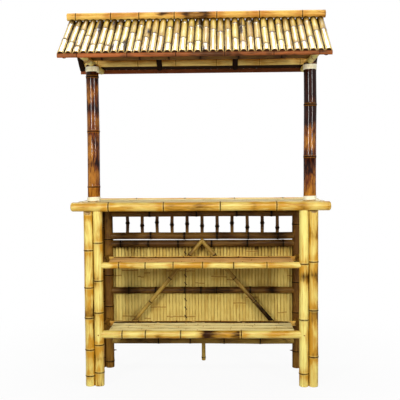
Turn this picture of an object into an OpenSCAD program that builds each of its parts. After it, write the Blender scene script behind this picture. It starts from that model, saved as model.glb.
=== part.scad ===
// Bamboo bar: a counter on paired legs with two shelves, a slatted panel on the
// guests' side and a small gabled roof of half-round bamboo tiles on two posts.
// Millimetres. +Z is up, +X right, +Y the guests' side; the servers stand at -Y.
// The floor is z = 0, the ridge runs over y = 0 and its middle lies over x = 0.

/* [Counter] */
// Height of the top of the edge poles over the floor
counter_h = 1058; // [900:1:1250]
// Length of the counter over the ends of its long edge poles
counter_len = 1469; // [1200:1:1800]
// Depth of the counter from the servers' edge to the guests' edge
counter_depth = 611; // [500:1:760]
// How far the middle of the counter lies to the guests' side of the posts
counter_shift = 21.5; // [0:0.5:50]
// Diameter of the two long edge poles
edge_pole_d = 52; // [40:1:70]
// Radius of the rounding at the ends of the long edge poles
edge_round = 12; // [2:0.5:20]
// Diameter of the two short end poles
end_pole_d = 46; // [36:1:52]
// Depth of the deck's top under the top of the edge poles
deck_drop = 6; // [2:0.5:12]
// Number of slats in the counter's deck
deck_slats = 20; // [12:1:30]
// Thickness of the deck's slats
deck_slat_t = 12; // [8:0.5:18]
// Diameter of the two bearers that lie on the outer legs
bearer_d = 50; // [36:1:60]
// Diameter of the two battens under the middle of the deck
batten_d = 34; // [24:1:40]
// Distance of each batten from the middle of the counter
batten_x = 240; // [120:1:300]

/* [Legs] */
// Diameter of every leg pole
leg_d = 52; // [40:1:64]
// Distance of the outer legs from the ends of the counter
leg_inset = 68.5; // [40:0.5:120]
// Distance between the servers' row and the guests' row, centre to centre
leg_row_depth = 355; // [280:1:420]
// Distance of the servers' row behind the servers' edge of the counter
leg_setback = 45; // [30:1:70]
// Depth of the seat for the edge pole in the tops of the servers' legs
leg_seat = 3; // [1:0.5:8]

/* [Shelves] */
// Depth of the upper shelf's front pole under the counter's edge poles, top to top
upper_shelf_drop = 345; // [300:1:400]
// Height of the top of the lower shelf's front pole
lower_shelf_h = 319; // [250:1:420]
// Diameter of the upper shelf's front pole
upper_pole_d = 36; // [28:1:44]
// Diameter of the lower shelf's front pole
lower_pole_d = 44; // [30:1:48]
// Diameter of the two back poles
back_pole_d = 30; // [24:1:40]
// Gap between the back poles and the braces behind them
shelf_gap = 24; // [15:1:100]
// Diameter of the side rails between the two rows of legs
side_rail_d = 42; // [30:1:46]
// Width that each shelf's deck stays clear of the inner legs
shelf_end_gap = 26; // [10:1:50]
// Number of slats in each shelf's deck
shelf_slats = 10; // [6:1:16]
// Thickness of the shelf slats
shelf_slat_t = 10; // [6:0.5:14]
// Depth of a shelf deck's top under the top of its front pole
shelf_drop = 4; // [1:0.5:8]
// Width of the shelf battens
shelf_batten_w = 22; // [14:1:36]
// Height of the shelf battens
shelf_batten_h = 14; // [8:1:20]

/* [Guest panel] */
// Gap between the gallery's top rail and the bearers over it
gallery_gap = 4; // [1:0.5:20]
// Height of the gallery between the middles of its two rails
gallery_h = 138; // [100:1:180]
// Diameter of the gallery's top rail
gallery_top_d = 37; // [30:1:46]
// Diameter of the gallery's bottom rail
gallery_low_d = 41; // [26:1:46]
// Slit between the gallery's bottom rail and the panel's top rail
panel_slit = 8.5; // [4:0.5:30]
// Diameter of the panel's top rail
panel_top_d = 40; // [28:1:42]
// Height of the middle of the panel's middle rail
panel_mid_z = 487; // [420:1:560]
// Height of the middle of the panel's bottom rail
panel_low_z = 169; // [120:1:220]
// Diameter of the panel's middle rail and bottom rail
panel_rail_d = 40; // [28:1:42]
// Number of balusters in the gallery
balusters = 11; // [7:1:15]
// Diameter of the balusters
baluster_d = 20; // [12:1:28]
// Thickness of the slatted mat
mat_t = 8; // [5:0.5:12]
// Width of one slat of the mat
mat_slat_w = 20; // [12:0.5:30]
// Depth of the grooves between the mat's slats
mat_groove = 1.6; // [0.5:0.1:3]
// Distance of the joint between the two mats to the left of the middle
mat_joint_x = 107; // [0:1:300]
// Width of the joint between the two mats
mat_joint_w = 3; // [1:0.5:8]
// Diameter of the two braces
brace_d = 25; // [18:1:32]
// Distance of each brace's foot from the inner leg beside it
brace_foot_gap = 20.5; // [16:0.5:80]
// Diameter of the stile behind the middle of the mats
stile_d = 24; // [16:1:32]
// Height of the stile's foot over the floor
stile_foot_h = 31; // [10:1:80]

/* [Posts] */
// Diameter of the two roof posts
post_d = 72; // [50:1:90]
// Gap between each post and the end pole beside it
post_gap = 0.5; // [0.3:0.1:20]
// Height of the binding at each post's foot
foot_bind_h = 28; // [15:1:60]
// Height of the binding at each post's head
head_bind_h = 35; // [15:1:70]
// Thickness of the cord that the posts are bound with
cord_d = 5; // [3:0.5:8]

/* [Roof] */
// Height of the top of the ridge pole over the floor
roof_h = 2182; // [1950:1:2400]
// How far the rows of tiles reach past each end of the counter
roof_overhang = 25.5; // [10:0.5:80]
// How far the roof lies to the left of the middle between the posts
roof_shift = 27; // [0:1:60]
// Depth of the roof over the lower ends of the tiles
roof_depth = 657; // [560:1:800]
// Slope of the roof in degrees
roof_pitch = 38; // [30:0.1:45]
// Number of tiles on each slope
tiles = 36; // [24:1:48]
// Height of a tile's crown over its edges
tile_rise = 17; // [12:0.5:20]
// Wall thickness of the tiles
tile_wall = 5; // [3:0.5:7]
// Gap between neighbouring tiles
tile_gap = 0.8; // [0.4:0.1:3]
// Gap between the heads of the two rows of tiles, added to their closest fit
tile_head_gap = 7.3; // [0:0.1:12]
// How far the ridge pole reaches past each end of the tile rows
ridge_overhang = 11; // [4:1:60]
// Diameter of the ridge pole
ridge_pole_d = 45; // [30:1:60]
// Diameter of the ridge beam and the two purlins under the tiles
purlin_d = 38; // [26:1:46]
// Distance of each purlin from the strip at the eave beside it
purlin_inset = 68; // [30:1:110]
// Diameter of the tie beam between the posts
tie_d = 40; // [28:1:50]
// Diameter of the cross arms on the posts
arm_d = 38; // [28:1:46]
// Width of the split rafters
rafter_w = 34; // [24:1:44]
// Distance of the inner rafters from the middle of the roof
rafter_inner_x = 240; // [150:1:330]
// Distance of the end rafters from the ends of the tile rows
rafter_end_gap = 24; // [18:1:60]
// How far the rafters run past the purlins
rafter_tail = 12; // [4:1:40]
// Height of the strip under the tiles' lower ends
eave_strip_h = 26; // [16:1:36]
// Thickness of that strip
eave_strip_t = 9; // [5:0.5:12]

/* [Bamboo] */
// Rise of the ring at each node of a cane
node_rise = 1.2; // [0.4:0.1:2.5]
// Width of the ring at each node
node_w = 8; // [4:0.5:14]
// Width of the ring's crest
crest_w = 3; // [1:0.5:6]
// Rise of the planed rings on canes that carry others
planed_rise = 0.2; // [0:0.05:0.25]
// Thickness of the wall across a cane inside each node
diaphragm_t = 6; // [3:0.5:12]
// Eased edge at the sawn ends
end_ease = 1.5; // [0.5:0.25:4]
// Depth of the node line on a tile
tile_line = 0.6; // [0.2:0.1:1.5]
// Gap left wherever one piece seats on another
fit = 0.3; // [0.1:0.05:0.6]

/* [Hidden] */
$fn = 48;
overrun = 20;
wall_share = 0.16;
// depth of the seat at each end of a post, as a share of the cane that it fits
post_seat_share = 0.25;
// shares of a bay between two joints at which the legs have their nodes
sl_outer_shares = [[0.22, 0.785], [0.2, 0.715], [0.215, 0.93]];
sl_inner_shares = [[0.295, 0.89], [0.29, 0.83], [0.37]];
sr_inner_shares = [[0.28], [0.17], [0.092]];
sr_outer_shares = [[0.64], [0.33], [0.06]];
gl_outer_shares = [[0.45], [0.6], [0.7], [0.62], [0.3]];
gl_inner_shares = [[0.28], [0.45], [0.47], [0.46], [0.5]];
gr_inner_shares = [[0.74], [0.3], [0.17], [0.15], [0.5]];
gr_outer_shares = [[0.3], [0.8], [0.5], [0.75], [0.7]];
// shares of its length at which each pole has its nodes
edge_shares = [0.147, 0.36, 0.578, 0.793];
end_shares = [0.28, 0.71];
bearer_shares = [0.25, 0.62];
batten_shares = [0.3, 0.68];
upper_front_shares = [0.102, 0.231, 0.367, 0.51, 0.66, 0.821];
lower_front_shares = [0.115, 0.229, 0.401, 0.696];
upper_back_shares = [0.125, 0.26, 0.404, 0.546, 0.691, 0.847];
lower_back_shares = [0.166, 0.366, 0.595, 0.805];
side_shares = [0.48];
panel_top_shares = [0.066, 0.213, 0.372, 0.55, 0.739, 0.928];
panel_mid_shares = [0.108, 0.251, 0.407, 0.492, 0.575, 0.754];
panel_low_shares = [0.263, 0.433, 0.614, 0.806];
left_post_shares = [0.048, 0.523, 0.972];
right_post_shares = [0.268, 0.739];
purlin_shares = [0.08, 0.25, 0.41, 0.58, 0.76, 0.93];
tie_shares = [0.06, 0.23, 0.36, 0.5, 0.67, 0.86];
arm_shares = [0.2, 0.72];
brace_shares = [0.2, 0.4, 0.63, 0.86];
stile_shares = [0.024, 0.3, 0.58, 0.86];
shelf_batten_shares = [0.054, 0.268, 0.732, 0.946];
// bays of the gallery, counted from the left, in which its rails have their nodes
gallery_top_bays = [1, 4, 7, 10];
gallery_low_bays = [2, 4, 7, 9];
// tiles, counted from the left, beside which the ridge pole has its nodes
ridge_node_tiles = [1, 6, 10, 15, 21, 27, 33];
// share of a tile's length over which its node line may lie
tile_line_lo_share = 0.16;
tile_line_hi_share = 0.9;
tile_line_step_share = 0.618;
baluster_node_share = 0.5;
// shares of a turn of cord between which its crest lies
cord_crest_shares = [0.3, 0.7];

// counter
server_edge_y = counter_shift - counter_depth / 2;
guest_edge_y = counter_shift + counter_depth / 2;
edge_pole_z = counter_h - edge_pole_d / 2;
server_pole_y = server_edge_y + edge_pole_d / 2;
guest_pole_y = guest_edge_y - edge_pole_d / 2;
end_pole_x = counter_len / 2 - end_pole_d / 2;
deck_top_z = counter_h - deck_drop;
deck_low_z = deck_top_z - deck_slat_t;
bearer_z = deck_low_z - fit - bearer_d / 2;
batten_z = deck_low_z - fit - batten_d / 2;
deck_half_x = end_pole_x - end_pole_d / 2 - fit;
deck_y0 = server_pole_y + edge_pole_d / 2 + fit;
deck_y1 = guest_pole_y - edge_pole_d / 2 - fit;
deck_slat_gap = node_rise;
deck_step = (deck_y1 - deck_y0 + deck_slat_gap) / deck_slats;

// legs
leg_r = leg_d / 2;
leg_gap = node_rise + fit;
leg_clear_w = counter_len - 2 * (leg_inset + 2 * leg_d + leg_gap);
inner_leg_x = leg_clear_w / 2 + leg_r;
outer_leg_x = inner_leg_x + leg_d + leg_gap;
server_leg_y = server_edge_y + leg_setback;
guest_leg_y = server_leg_y + leg_row_depth;
leg_top_z = counter_h - edge_pole_d + leg_seat;

// guest panel
bay_w = leg_clear_w / (balusters + 1);
gallery_top_z = bearer_z - bearer_d / 2 - gallery_gap - gallery_top_d / 2;
gallery_low_z = gallery_top_z - gallery_h;
panel_top_z = gallery_low_z - gallery_low_d / 2 - panel_slit - panel_top_d / 2;
mat_y = guest_leg_y + panel_rail_d / 2 + node_rise + fit;
brace_foot_x = leg_clear_w / 2 - brace_foot_gap;
brace_y = guest_leg_y - panel_rail_d / 2 - fit - brace_d / 2;
brace_top_z = panel_top_z + panel_top_d / 2;
stile_y = mat_y + mat_t + node_rise + fit + stile_d / 2;
wide_mat_x = mat_joint_w / 2 - mat_joint_x;
mat_lap = leg_r - sqrt(max(0, pow(leg_r + node_rise + fit, 2) - pow(mat_y - guest_leg_y, 2)));
mat_end_x = leg_clear_w / 2 + mat_lap;
wide_mat_step = slat_step(wide_mat_x, mat_end_x);
stile_x = wide_mat_x + floor(-wide_mat_x / wide_mat_step) * wide_mat_step + wide_mat_step / 2;

// shelves
upper_shelf_h = counter_h - upper_shelf_drop;
upper_front_z = upper_shelf_h - upper_pole_d / 2;
lower_front_z = lower_shelf_h - lower_pole_d / 2;
back_pole_y = brace_y - brace_d / 2 - shelf_gap - back_pole_d / 2;
shelf_depth = back_pole_y - server_leg_y;
shelf_half_x = leg_clear_w / 2 - shelf_end_gap;

// posts
post_x = end_pole_x - end_pole_d / 2 - post_gap - post_d / 2;

// roof
roof_len = counter_len + 2 * roof_overhang;
ridge_len = roof_len + 2 * ridge_overhang;
tile_step = roof_len / tiles;
tile_w = tile_step - tile_gap;
tile_r = (tile_w * tile_w / 4 + tile_rise * tile_rise) / (2 * tile_rise);
tile_arc = 2 * acos((tile_r - tile_rise) / tile_r);
tile_drop = tile_r - (tile_r - tile_wall) * cos(tile_arc / 2);
tile_head_y = fit + tile_drop * sin(roof_pitch) + tile_head_gap / 2;
tile_s0 = tile_head_y / cos(roof_pitch);
tile_s1 = roof_depth / 2 / cos(roof_pitch);
ridge_seat = sqrt(pow(ridge_pole_d / 2 + fit, 2) - pow(tile_head_y, 2));
apex_z = roof_h - ridge_pole_d / 2 - ridge_seat + tile_s0 * sin(roof_pitch);
eave_y = roof_depth / 2 - tile_drop * sin(roof_pitch);
eave_low_z = apex_z - tile_s1 * sin(roof_pitch) - tile_drop * cos(roof_pitch) - fit;
eave_top_z = eave_low_z + eave_strip_t * tan(roof_pitch);
eave_back_y = eave_y - eave_strip_t;
eave_r = (eave_strip_h * eave_strip_h / 4 + eave_strip_t * eave_strip_t) / (2 * eave_strip_t);
purlin_y = eave_back_y - purlin_inset;
purlin_n = tile_drop + fit + purlin_d / 2;
ridge_beam_z = apex_z - purlin_n / cos(roof_pitch);
purlin_z = ridge_beam_z - purlin_y * tan(roof_pitch);
arm_z = purlin_z - purlin_d / 2 - fit - arm_d / 2;
tie_z = arm_z + arm_d / 2 + fit + tie_d / 2;
rafter_n = tile_drop + fit + purlin_d + fit;

// points of the ring at a node
function ring(r, h, rise) = [
    [r, h - node_w / 2],
    [r + rise, h - crest_w / 2],
    [r + rise, h + crest_w / 2],
    [r, h + node_w / 2]
];

// heights of the nodes in a row of bays, from their shares
function bay_nodes(bays, shares) = [
    for (i = [0 : len(bays) - 1])
        for (s = shares[i])
            bays[i][0] + s * (bays[i][1] - bays[i][0])
];

// places along a pole, from its shares
function along(length, shares) = [for (s = shares) s * length];

// points of the rounding at a cane's end, from the end face outwards
function rounding(r, ease) = [
    for (a = [0 : 30 : 90])
        [r - ease * (1 - sin(a)), ease * (1 - cos(a))]
];

// a cane standing on the origin, with the bore open to the first node at each open end
module culm(length, d, nodes, rise = node_rise, open_lo = true, open_hi = true, ease = end_ease) {
    r = d / 2;
    bore = r - wall_share * d;
    first = nodes[0] - diaphragm_t / 2;
    last = nodes[len(nodes) - 1] + diaphragm_t / 2;
    lo = open_lo ? [[0, first], [bore, first], [bore, 0]] : [[0, 0]];
    hi = open_hi ? [[bore, length], [bore, last], [0, last]] : [[0, length]];
    rings = [for (h = nodes) each ring(r, h, rise)];
    start = ease == end_ease ? [[r - ease, 0], [r, ease]] : rounding(r, ease);
    finish = [for (i = [len(start) - 1 : -1 : 0]) [start[i][0], length - start[i][1]]];
    rotate_extrude()
        polygon(concat(lo, start, rings, finish, hi));
}

// the same cane laid to the right from x0, or to the guests' side from y0
module culm_x(x0, x1, y, z, d, shares, rise = node_rise, open_lo = false, open_hi = false) {
    translate([x0, y, z])
        rotate([0, 90, 0])
            culm(x1 - x0, d, along(x1 - x0, shares), rise, open_lo, open_hi);
}

module culm_y(x, y0, y1, z, d, shares, rise = node_rise, open_lo = false, open_hi = false) {
    translate([x, y0, z])
        rotate([-90, 0, 0])
            culm(y1 - y0, d, along(y1 - y0, shares), rise, open_lo, open_hi);
}

// plain round cutters for the hollowed seats, as wide as the cane that they receive
module seat_x(y, z, d) {
    translate([-counter_len, y, z])
        rotate([0, 90, 0])
            cylinder(r = d / 2 + fit, h = 2 * counter_len);
}

module seat_y(x, z, d) {
    translate([x, -counter_depth, z])
        rotate([-90, 0, 0])
            cylinder(r = d / 2 + fit, h = 2 * counter_depth);
}

module seat_z(x, y, d) {
    translate([x, y, -overrun])
        cylinder(r = d / 2 + fit, h = roof_h);
}

// legs

server_bays = [
    [0, lower_front_z - side_rail_d / 2 - node_w],
    [lower_front_z + side_rail_d / 2 + node_w, upper_front_z - side_rail_d / 2 - node_w],
    [upper_front_z + side_rail_d / 2 + node_w, counter_h - edge_pole_d - node_w]
];

guest_bays = [
    [0, panel_low_z - panel_rail_d / 2 - node_w],
    [panel_low_z + panel_rail_d / 2 + node_w, lower_front_z - side_rail_d / 2 - node_w],
    [lower_front_z + side_rail_d / 2 + node_w, panel_mid_z - panel_rail_d / 2 - node_w],
    [panel_mid_z + panel_rail_d / 2 + node_w, upper_front_z - side_rail_d / 2 - node_w],
    [gallery_low_z + gallery_low_d / 2 + node_w, gallery_top_z - gallery_top_d / 2 - node_w]
];

module server_leg(x, shares) {
    color("#c9a24e")
        difference() {
            translate([x, server_leg_y, 0])
                culm(leg_top_z, leg_d, bay_nodes(server_bays, shares));
            seat_x(server_pole_y, edge_pole_z, edge_pole_d);
            seat_y(sign(x) * outer_leg_x, bearer_z, bearer_d);
        }
}

module guest_leg(x, shares) {
    color("#b38c47")
        difference() {
            translate([x, guest_leg_y, 0])
                culm(leg_top_z, leg_d, bay_nodes(guest_bays, shares));
            seat_y(sign(x) * outer_leg_x, bearer_z, bearer_d);
        }
}

module server_leg_left_outer() {
    server_leg(-outer_leg_x, sl_outer_shares);
}

module server_leg_left_inner() {
    server_leg(-inner_leg_x, sl_inner_shares);
}

module server_leg_right_inner() {
    server_leg(inner_leg_x, sr_inner_shares);
}

module server_leg_right_outer() {
    server_leg(outer_leg_x, sr_outer_shares);
}

module guest_leg_left_outer() {
    guest_leg(-outer_leg_x, gl_outer_shares);
}

module guest_leg_left_inner() {
    guest_leg(-inner_leg_x, gl_inner_shares);
}

module guest_leg_right_inner() {
    guest_leg(inner_leg_x, gr_inner_shares);
}

module guest_leg_right_outer() {
    guest_leg(outer_leg_x, gr_outer_shares);
}

// counter

module edge_pole(y) {
    nodes = along(counter_len, edge_shares);
    color("#d3ad58")
        translate([-counter_len / 2, y, edge_pole_z])
            rotate([0, 90, 0])
                culm(counter_len, edge_pole_d, nodes, node_rise, false, false, edge_round);
}

module counter_server_pole() {
    edge_pole(server_pole_y);
}

module counter_guest_pole() {
    mirror([1, 0, 0])
        edge_pole(guest_pole_y);
}

module counter_end_pole(x) {
    color("#cda652")
        difference() {
            culm_y(x, server_pole_y, guest_pole_y, edge_pole_z, end_pole_d, end_shares);
            seat_x(server_pole_y, edge_pole_z, edge_pole_d);
            seat_x(guest_pole_y, edge_pole_z, edge_pole_d);
        }
}

module counter_end_poles() {
    counter_end_pole(-end_pole_x);
    counter_end_pole(end_pole_x);
}

module counter_deck() {
    color("#dcc084")
        difference() {
            for (i = [0 : deck_slats - 1])
                translate([-deck_half_x, deck_y0 + i * deck_step, deck_low_z])
                    cube([2 * deck_half_x, deck_step - deck_slat_gap, deck_slat_t]);
            for (side = [-1, 1]) {
                seat_z(side * post_x, 0, post_d);
                translate([side * (post_x + counter_len / 2), 0, deck_low_z])
                    cube([counter_len, post_d + 2 * fit, counter_h], center = true);
            }
        }
}

module counter_bearers() {
    color("#a88245")
        difference() {
            for (x = [-outer_leg_x, outer_leg_x])
                culm_y(x, deck_y0, guest_pole_y, bearer_z, bearer_d, bearer_shares, planed_rise);
            seat_x(server_pole_y, edge_pole_z, edge_pole_d);
            seat_x(guest_pole_y, edge_pole_z, edge_pole_d);
        }
}

module counter_battens() {
    y0 = deck_y0 + node_rise;
    y1 = deck_y1 - node_rise;
    color("#a88245")
        for (x = [-batten_x, batten_x])
            culm_y(x, y0, y1, batten_z, batten_d, batten_shares, planed_rise);
}

// shelves

module shelf_front(z, d, shares) {
    color("#cfa850")
        difference() {
            culm_x(-inner_leg_x, inner_leg_x, server_leg_y, z, d, shares);
            seat_z(-inner_leg_x, server_leg_y, leg_d);
            seat_z(inner_leg_x, server_leg_y, leg_d);
        }
}

module shelf_back(z, shares) {
    color("#b8924a")
        difference() {
            culm_x(-inner_leg_x, inner_leg_x, back_pole_y, z, back_pole_d, shares);
            seat_y(-inner_leg_x, z, side_rail_d);
            seat_y(inner_leg_x, z, side_rail_d);
        }
}

module shelf_side_rails(z, front_d) {
    color("#b8924a")
        for (side = [-1, 1])
            difference() {
                culm_y(side * inner_leg_x, server_leg_y, guest_leg_y, z, side_rail_d, side_shares);
                seat_z(side * inner_leg_x, server_leg_y, leg_d);
                seat_z(side * inner_leg_x, guest_leg_y, leg_d);
                seat_x(server_leg_y, z, front_d);
            }
}

module shelf_deck(top_z, front_d) {
    y0 = server_leg_y + front_d / 2 + node_rise + fit;
    y1 = back_pole_y - back_pole_d / 2 - node_rise - fit;
    step = (y1 - y0 + deck_slat_gap) / shelf_slats;
    color("#d8bd86")
        for (i = [0 : shelf_slats - 1])
            translate([-shelf_half_x, y0 + i * step, top_z - shelf_slat_t])
                cube([2 * shelf_half_x, step - deck_slat_gap, shelf_slat_t]);
}

module shelf_batten_row(z, top_z, front_d) {
    low_z = top_z - shelf_slat_t - fit - shelf_batten_h;
    for (s = shelf_batten_shares)
        difference() {
            translate([(s * leg_clear_w) - leg_clear_w / 2 - shelf_batten_w / 2, server_leg_y, low_z])
                cube([shelf_batten_w, shelf_depth, shelf_batten_h]);
            seat_x(server_leg_y, z, front_d);
            seat_x(back_pole_y, z, back_pole_d);
        }
}

module upper_shelf_front_pole() {
    shelf_front(upper_front_z, upper_pole_d, upper_front_shares);
}

module upper_shelf_back_pole() {
    shelf_back(upper_front_z, upper_back_shares);
}

module upper_shelf_side_rails() {
    shelf_side_rails(upper_front_z, upper_pole_d);
}

module upper_shelf_deck() {
    shelf_deck(upper_shelf_h - shelf_drop, upper_pole_d);
}

module lower_shelf_front_pole() {
    shelf_front(lower_front_z, lower_pole_d, lower_front_shares);
}

module lower_shelf_back_pole() {
    shelf_back(lower_front_z, lower_back_shares);
}

module lower_shelf_side_rails() {
    shelf_side_rails(lower_front_z, lower_pole_d);
}

module lower_shelf_deck() {
    shelf_deck(lower_shelf_h - shelf_drop, lower_pole_d);
}

module shelf_battens() {
    color("#a88245") {
        shelf_batten_row(upper_front_z, upper_shelf_h - shelf_drop, upper_pole_d);
        shelf_batten_row(lower_front_z, lower_shelf_h - shelf_drop, lower_pole_d);
    }
}

// guest panel

module panel_rail(z, d, shares) {
    color("#9c7a40")
        difference() {
            culm_x(-inner_leg_x, inner_leg_x, guest_leg_y, z, d, shares);
            seat_z(-inner_leg_x, guest_leg_y, leg_d);
            seat_z(inner_leg_x, guest_leg_y, leg_d);
        }
}

// shares of a rail's length at the middles of the gallery's bays
function bay_shares(bays) = [
    for (b = bays)
        (leg_r + (b + baluster_node_share) * bay_w) / (2 * inner_leg_x)
];

module gallery_top_rail() {
    panel_rail(gallery_top_z, gallery_top_d, bay_shares(gallery_top_bays));
}

module gallery_bottom_rail() {
    panel_rail(gallery_low_z, gallery_low_d, bay_shares(gallery_low_bays));
}

module panel_top_rail() {
    panel_rail(panel_top_z, panel_top_d, panel_top_shares);
}

module panel_middle_rail() {
    panel_rail(panel_mid_z, panel_rail_d, panel_mid_shares);
}

module panel_bottom_rail() {
    panel_rail(panel_low_z, panel_rail_d, panel_low_shares);
}

module gallery_balusters() {
    length = gallery_top_z - gallery_low_z;
    color("#8a6a38")
        difference() {
            for (i = [1 : balusters])
                translate([i * bay_w - leg_clear_w / 2, guest_leg_y, gallery_low_z])
                    culm(length, baluster_d, [baluster_node_share * length], node_rise, false, false);
            seat_x(guest_leg_y, gallery_low_z, gallery_low_d);
            seat_x(guest_leg_y, gallery_top_z, gallery_top_d);
        }
}

// a mat of upright slats with a groove between neighbours on both faces
// step of the slats that fill a mat from x0 to x1
function slat_step(x0, x1) = (x1 - x0) / round((x1 - x0) / mat_slat_w);

module slat_mat(x0, x1) {
    step = slat_step(x0, x1);
    slats = round((x1 - x0) / step);
    face = [for (i = [0 : slats - 1]) each [[x0 + i * step, mat_groove], [x0 + i * step + step / 2, 0]]];
    front = concat(face, [[x1, mat_groove]]);
    back = [for (i = [len(front) - 1 : -1 : 0]) [front[i][0], mat_t - front[i][1]]];
    low_z = panel_low_z - panel_rail_d / 2;
    color("#cdb383")
        translate([0, mat_y, low_z])
            linear_extrude(height = brace_top_z - low_z)
                polygon(concat(front, back));
}

module panel_mats() {
    slat_mat(-mat_end_x, -mat_joint_x - mat_joint_w / 2);
    slat_mat(wide_mat_x, mat_end_x);
}

// a brace from the middle of the panel's top rail down to the end of its bottom rail
module brace(side) {
    rise = brace_top_z - panel_low_z;
    length = sqrt(brace_foot_x * brace_foot_x + rise * rise);
    lean = atan2(brace_foot_x, rise);
    reach = length + brace_d;
    color("#a17c40")
        difference() {
            translate([side * brace_foot_x, brace_y, panel_low_z])
                rotate([0, -side * lean, 0])
                    culm(reach, brace_d, along(length, brace_shares), node_rise, true, false);
            translate([side > 0 ? fit - counter_len : -fit, -counter_depth, 0])
                cube([counter_len, 2 * counter_depth, roof_h]);
        }
}

module braces() {
    brace(-1);
    brace(1);
}

// the stile stands behind the middle of a slat, on which it bears
module centre_stile() {
    length = brace_top_z - stile_foot_h;
    color("#b08a49")
        translate([stile_x, stile_y, stile_foot_h])
            culm(length, stile_d, along(length, stile_shares));
}

// posts

module roof_post(x, shares) {
    foot_z = bearer_z + bearer_d / 2 - post_seat_share * bearer_d;
    head_z = arm_z - arm_d / 2 + post_seat_share * arm_d;
    bare_z0 = deck_top_z + fit + foot_bind_h + node_w;
    bare_z1 = arm_z - arm_d / 2 - fit - head_bind_h - node_w;
    nodes = [for (i = [len(shares) - 1 : -1 : 0]) bare_z1 - foot_z - shares[i] * (bare_z1 - bare_z0)];
    color("#5a3320")
        difference() {
            translate([x, 0, foot_z])
                culm(head_z - foot_z, post_d, nodes, node_rise, false, false);
            seat_y(sign(x) * outer_leg_x, bearer_z, bearer_d);
            seat_y(x, arm_z, arm_d);
        }
}

module left_post() {
    roof_post(-post_x, left_post_shares);
}

module right_post() {
    roof_post(post_x, right_post_shares);
}

// turns of cord wound round a post
module binding(x, low_z, height) {
    turns = floor(height / cord_d);
    turn = height / turns;
    inner = post_d / 2 + fit;
    crest = inner + cord_d;
    valley = inner + cord_d / 2;
    wound = [for (i = [0 : turns - 1]) each [
        [valley, i * turn],
        [crest, (i + cord_crest_shares[0]) * turn],
        [crest, (i + cord_crest_shares[1]) * turn]
    ]];
    translate([x, 0, low_z])
        rotate_extrude()
            polygon(concat([[inner, 0]], wound, [[valley, height], [inner, height]]));
}

module post_foot_bindings() {
    color("#e8d9b0")
        for (side = [-1, 1])
            difference() {
                binding(side * post_x, deck_top_z + fit, foot_bind_h);
                seat_y(side * end_pole_x, edge_pole_z, end_pole_d);
            }
}

module post_head_bindings() {
    color("#e8d9b0")
        for (side = [-1, 1])
            binding(side * post_x, arm_z - arm_d / 2 - fit - head_bind_h, head_bind_h);
}

// roof frame

// all that lies over the lower edges of the servers' tiles, to bevel what runs under them
module over_slope() {
    translate([-roof_len, 0, apex_z])
        rotate([roof_pitch, 0, 0])
            translate([0, -roof_depth, -tile_drop - fit])
                cube([2 * roof_len, roof_depth, roof_depth]);
}

module cross_arms() {
    half = eave_back_y - fit;
    color("#c8a55c")
        difference() {
            for (side = [-1, 1])
                culm_y(side * post_x, -half, half, arm_z, arm_d, arm_shares, planed_rise, true, true);
            over_slope();
            mirror([0, 1, 0])
                over_slope();
        }
}

module tie_beam() {
    half = post_x + arm_d / 2;
    color("#b58b46")
        culm_x(-half, half, 0, tie_z, tie_d, tie_shares, planed_rise, true, true);
}

module purlin(y, z) {
    x0 = tile_wall - roof_len / 2 - roof_shift;
    x1 = roof_len / 2 - tile_wall - roof_shift;
    color("#cdaa60")
        culm_x(x0, x1, y, z, purlin_d, purlin_shares, planed_rise, true, true);
}

module ridge_beam() {
    purlin(0, ridge_beam_z);
}

module purlins() {
    purlin(-purlin_y, purlin_z);
    purlin(purlin_y, purlin_z);
}

// a split rafter under the servers' slope, flat side up
module rafter(x) {
    start = rafter_n * tan(roof_pitch);
    finish = purlin_y / cos(roof_pitch) + purlin_n * tan(roof_pitch) + purlin_d / 2 + rafter_tail;
    difference() {
        translate([x, 0, apex_z])
            rotate([roof_pitch, 0, 0])
                translate([0, -start + overrun, -rafter_n])
                    rotate([90, 0, 0])
                        difference() {
                            cylinder(r = rafter_w / 2, h = finish - start + overrun);
                            translate([-rafter_w, 0, -overrun])
                                cube([2 * rafter_w, rafter_w, finish + overrun + overrun]);
                        }
        translate([-roof_len, -fit, 0])
            cube([2 * roof_len, roof_depth, roof_h]);
    }
}

module rafter_row() {
    color("#4d3422")
        for (x = [rafter_inner_x, roof_len / 2 - rafter_end_gap])
            for (side = [-1, 1])
                rafter(side * x - roof_shift);
}

module rafters() {
    rafter_row();
    mirror([0, 1, 0])
        rafter_row();
}

// a half-round strip under the lower ends of the tiles
module eave_strip() {
    color("#8c4f2a")
        difference() {
            translate([-roof_len / 2 - roof_shift, -eave_y + eave_r, eave_top_z - eave_strip_h / 2])
                rotate([0, 90, 0])
                    cylinder(r = eave_r, h = roof_len);
            translate([-roof_len, -eave_back_y, 0])
                cube([2 * roof_len, roof_depth, roof_h]);
            over_slope();
        }
}

module eave_strips() {
    eave_strip();
    mirror([0, 1, 0])
        eave_strip();
}

// one tile lying down the servers' slope: half a cane with a node line across it
module tile(x, line_share) {
    length = tile_s1 - tile_s0;
    line_h = line_share * length;
    inner = tile_r - tile_wall;
    translate([x, 0, apex_z])
        rotate([roof_pitch, 0, 0])
            translate([0, -tile_s0, -tile_r])
                rotate([90, 0, 0])
                    rotate([0, 0, 90 - tile_arc / 2])
                        rotate_extrude(angle = tile_arc)
                            polygon([
                                [inner, 0],
                                [tile_r, 0],
                                [tile_r, line_h - crest_w / 2],
                                [tile_r - tile_line, line_h],
                                [tile_r, line_h + crest_w / 2],
                                [tile_r, length],
                                [inner, length]
                            ]);
}

// place of a tile's node line, stepping through its range from tile to tile
function line_share(i) =
    tile_line_lo_share + (tile_line_hi_share - tile_line_lo_share) * ((i * tile_line_step_share) % 1);

module tile_row(first) {
    color("#e0c98c")
        for (i = [0 : tiles - 1])
            tile(i * tile_step + tile_step / 2 - roof_len / 2 - roof_shift, line_share(i + first));
}

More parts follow.
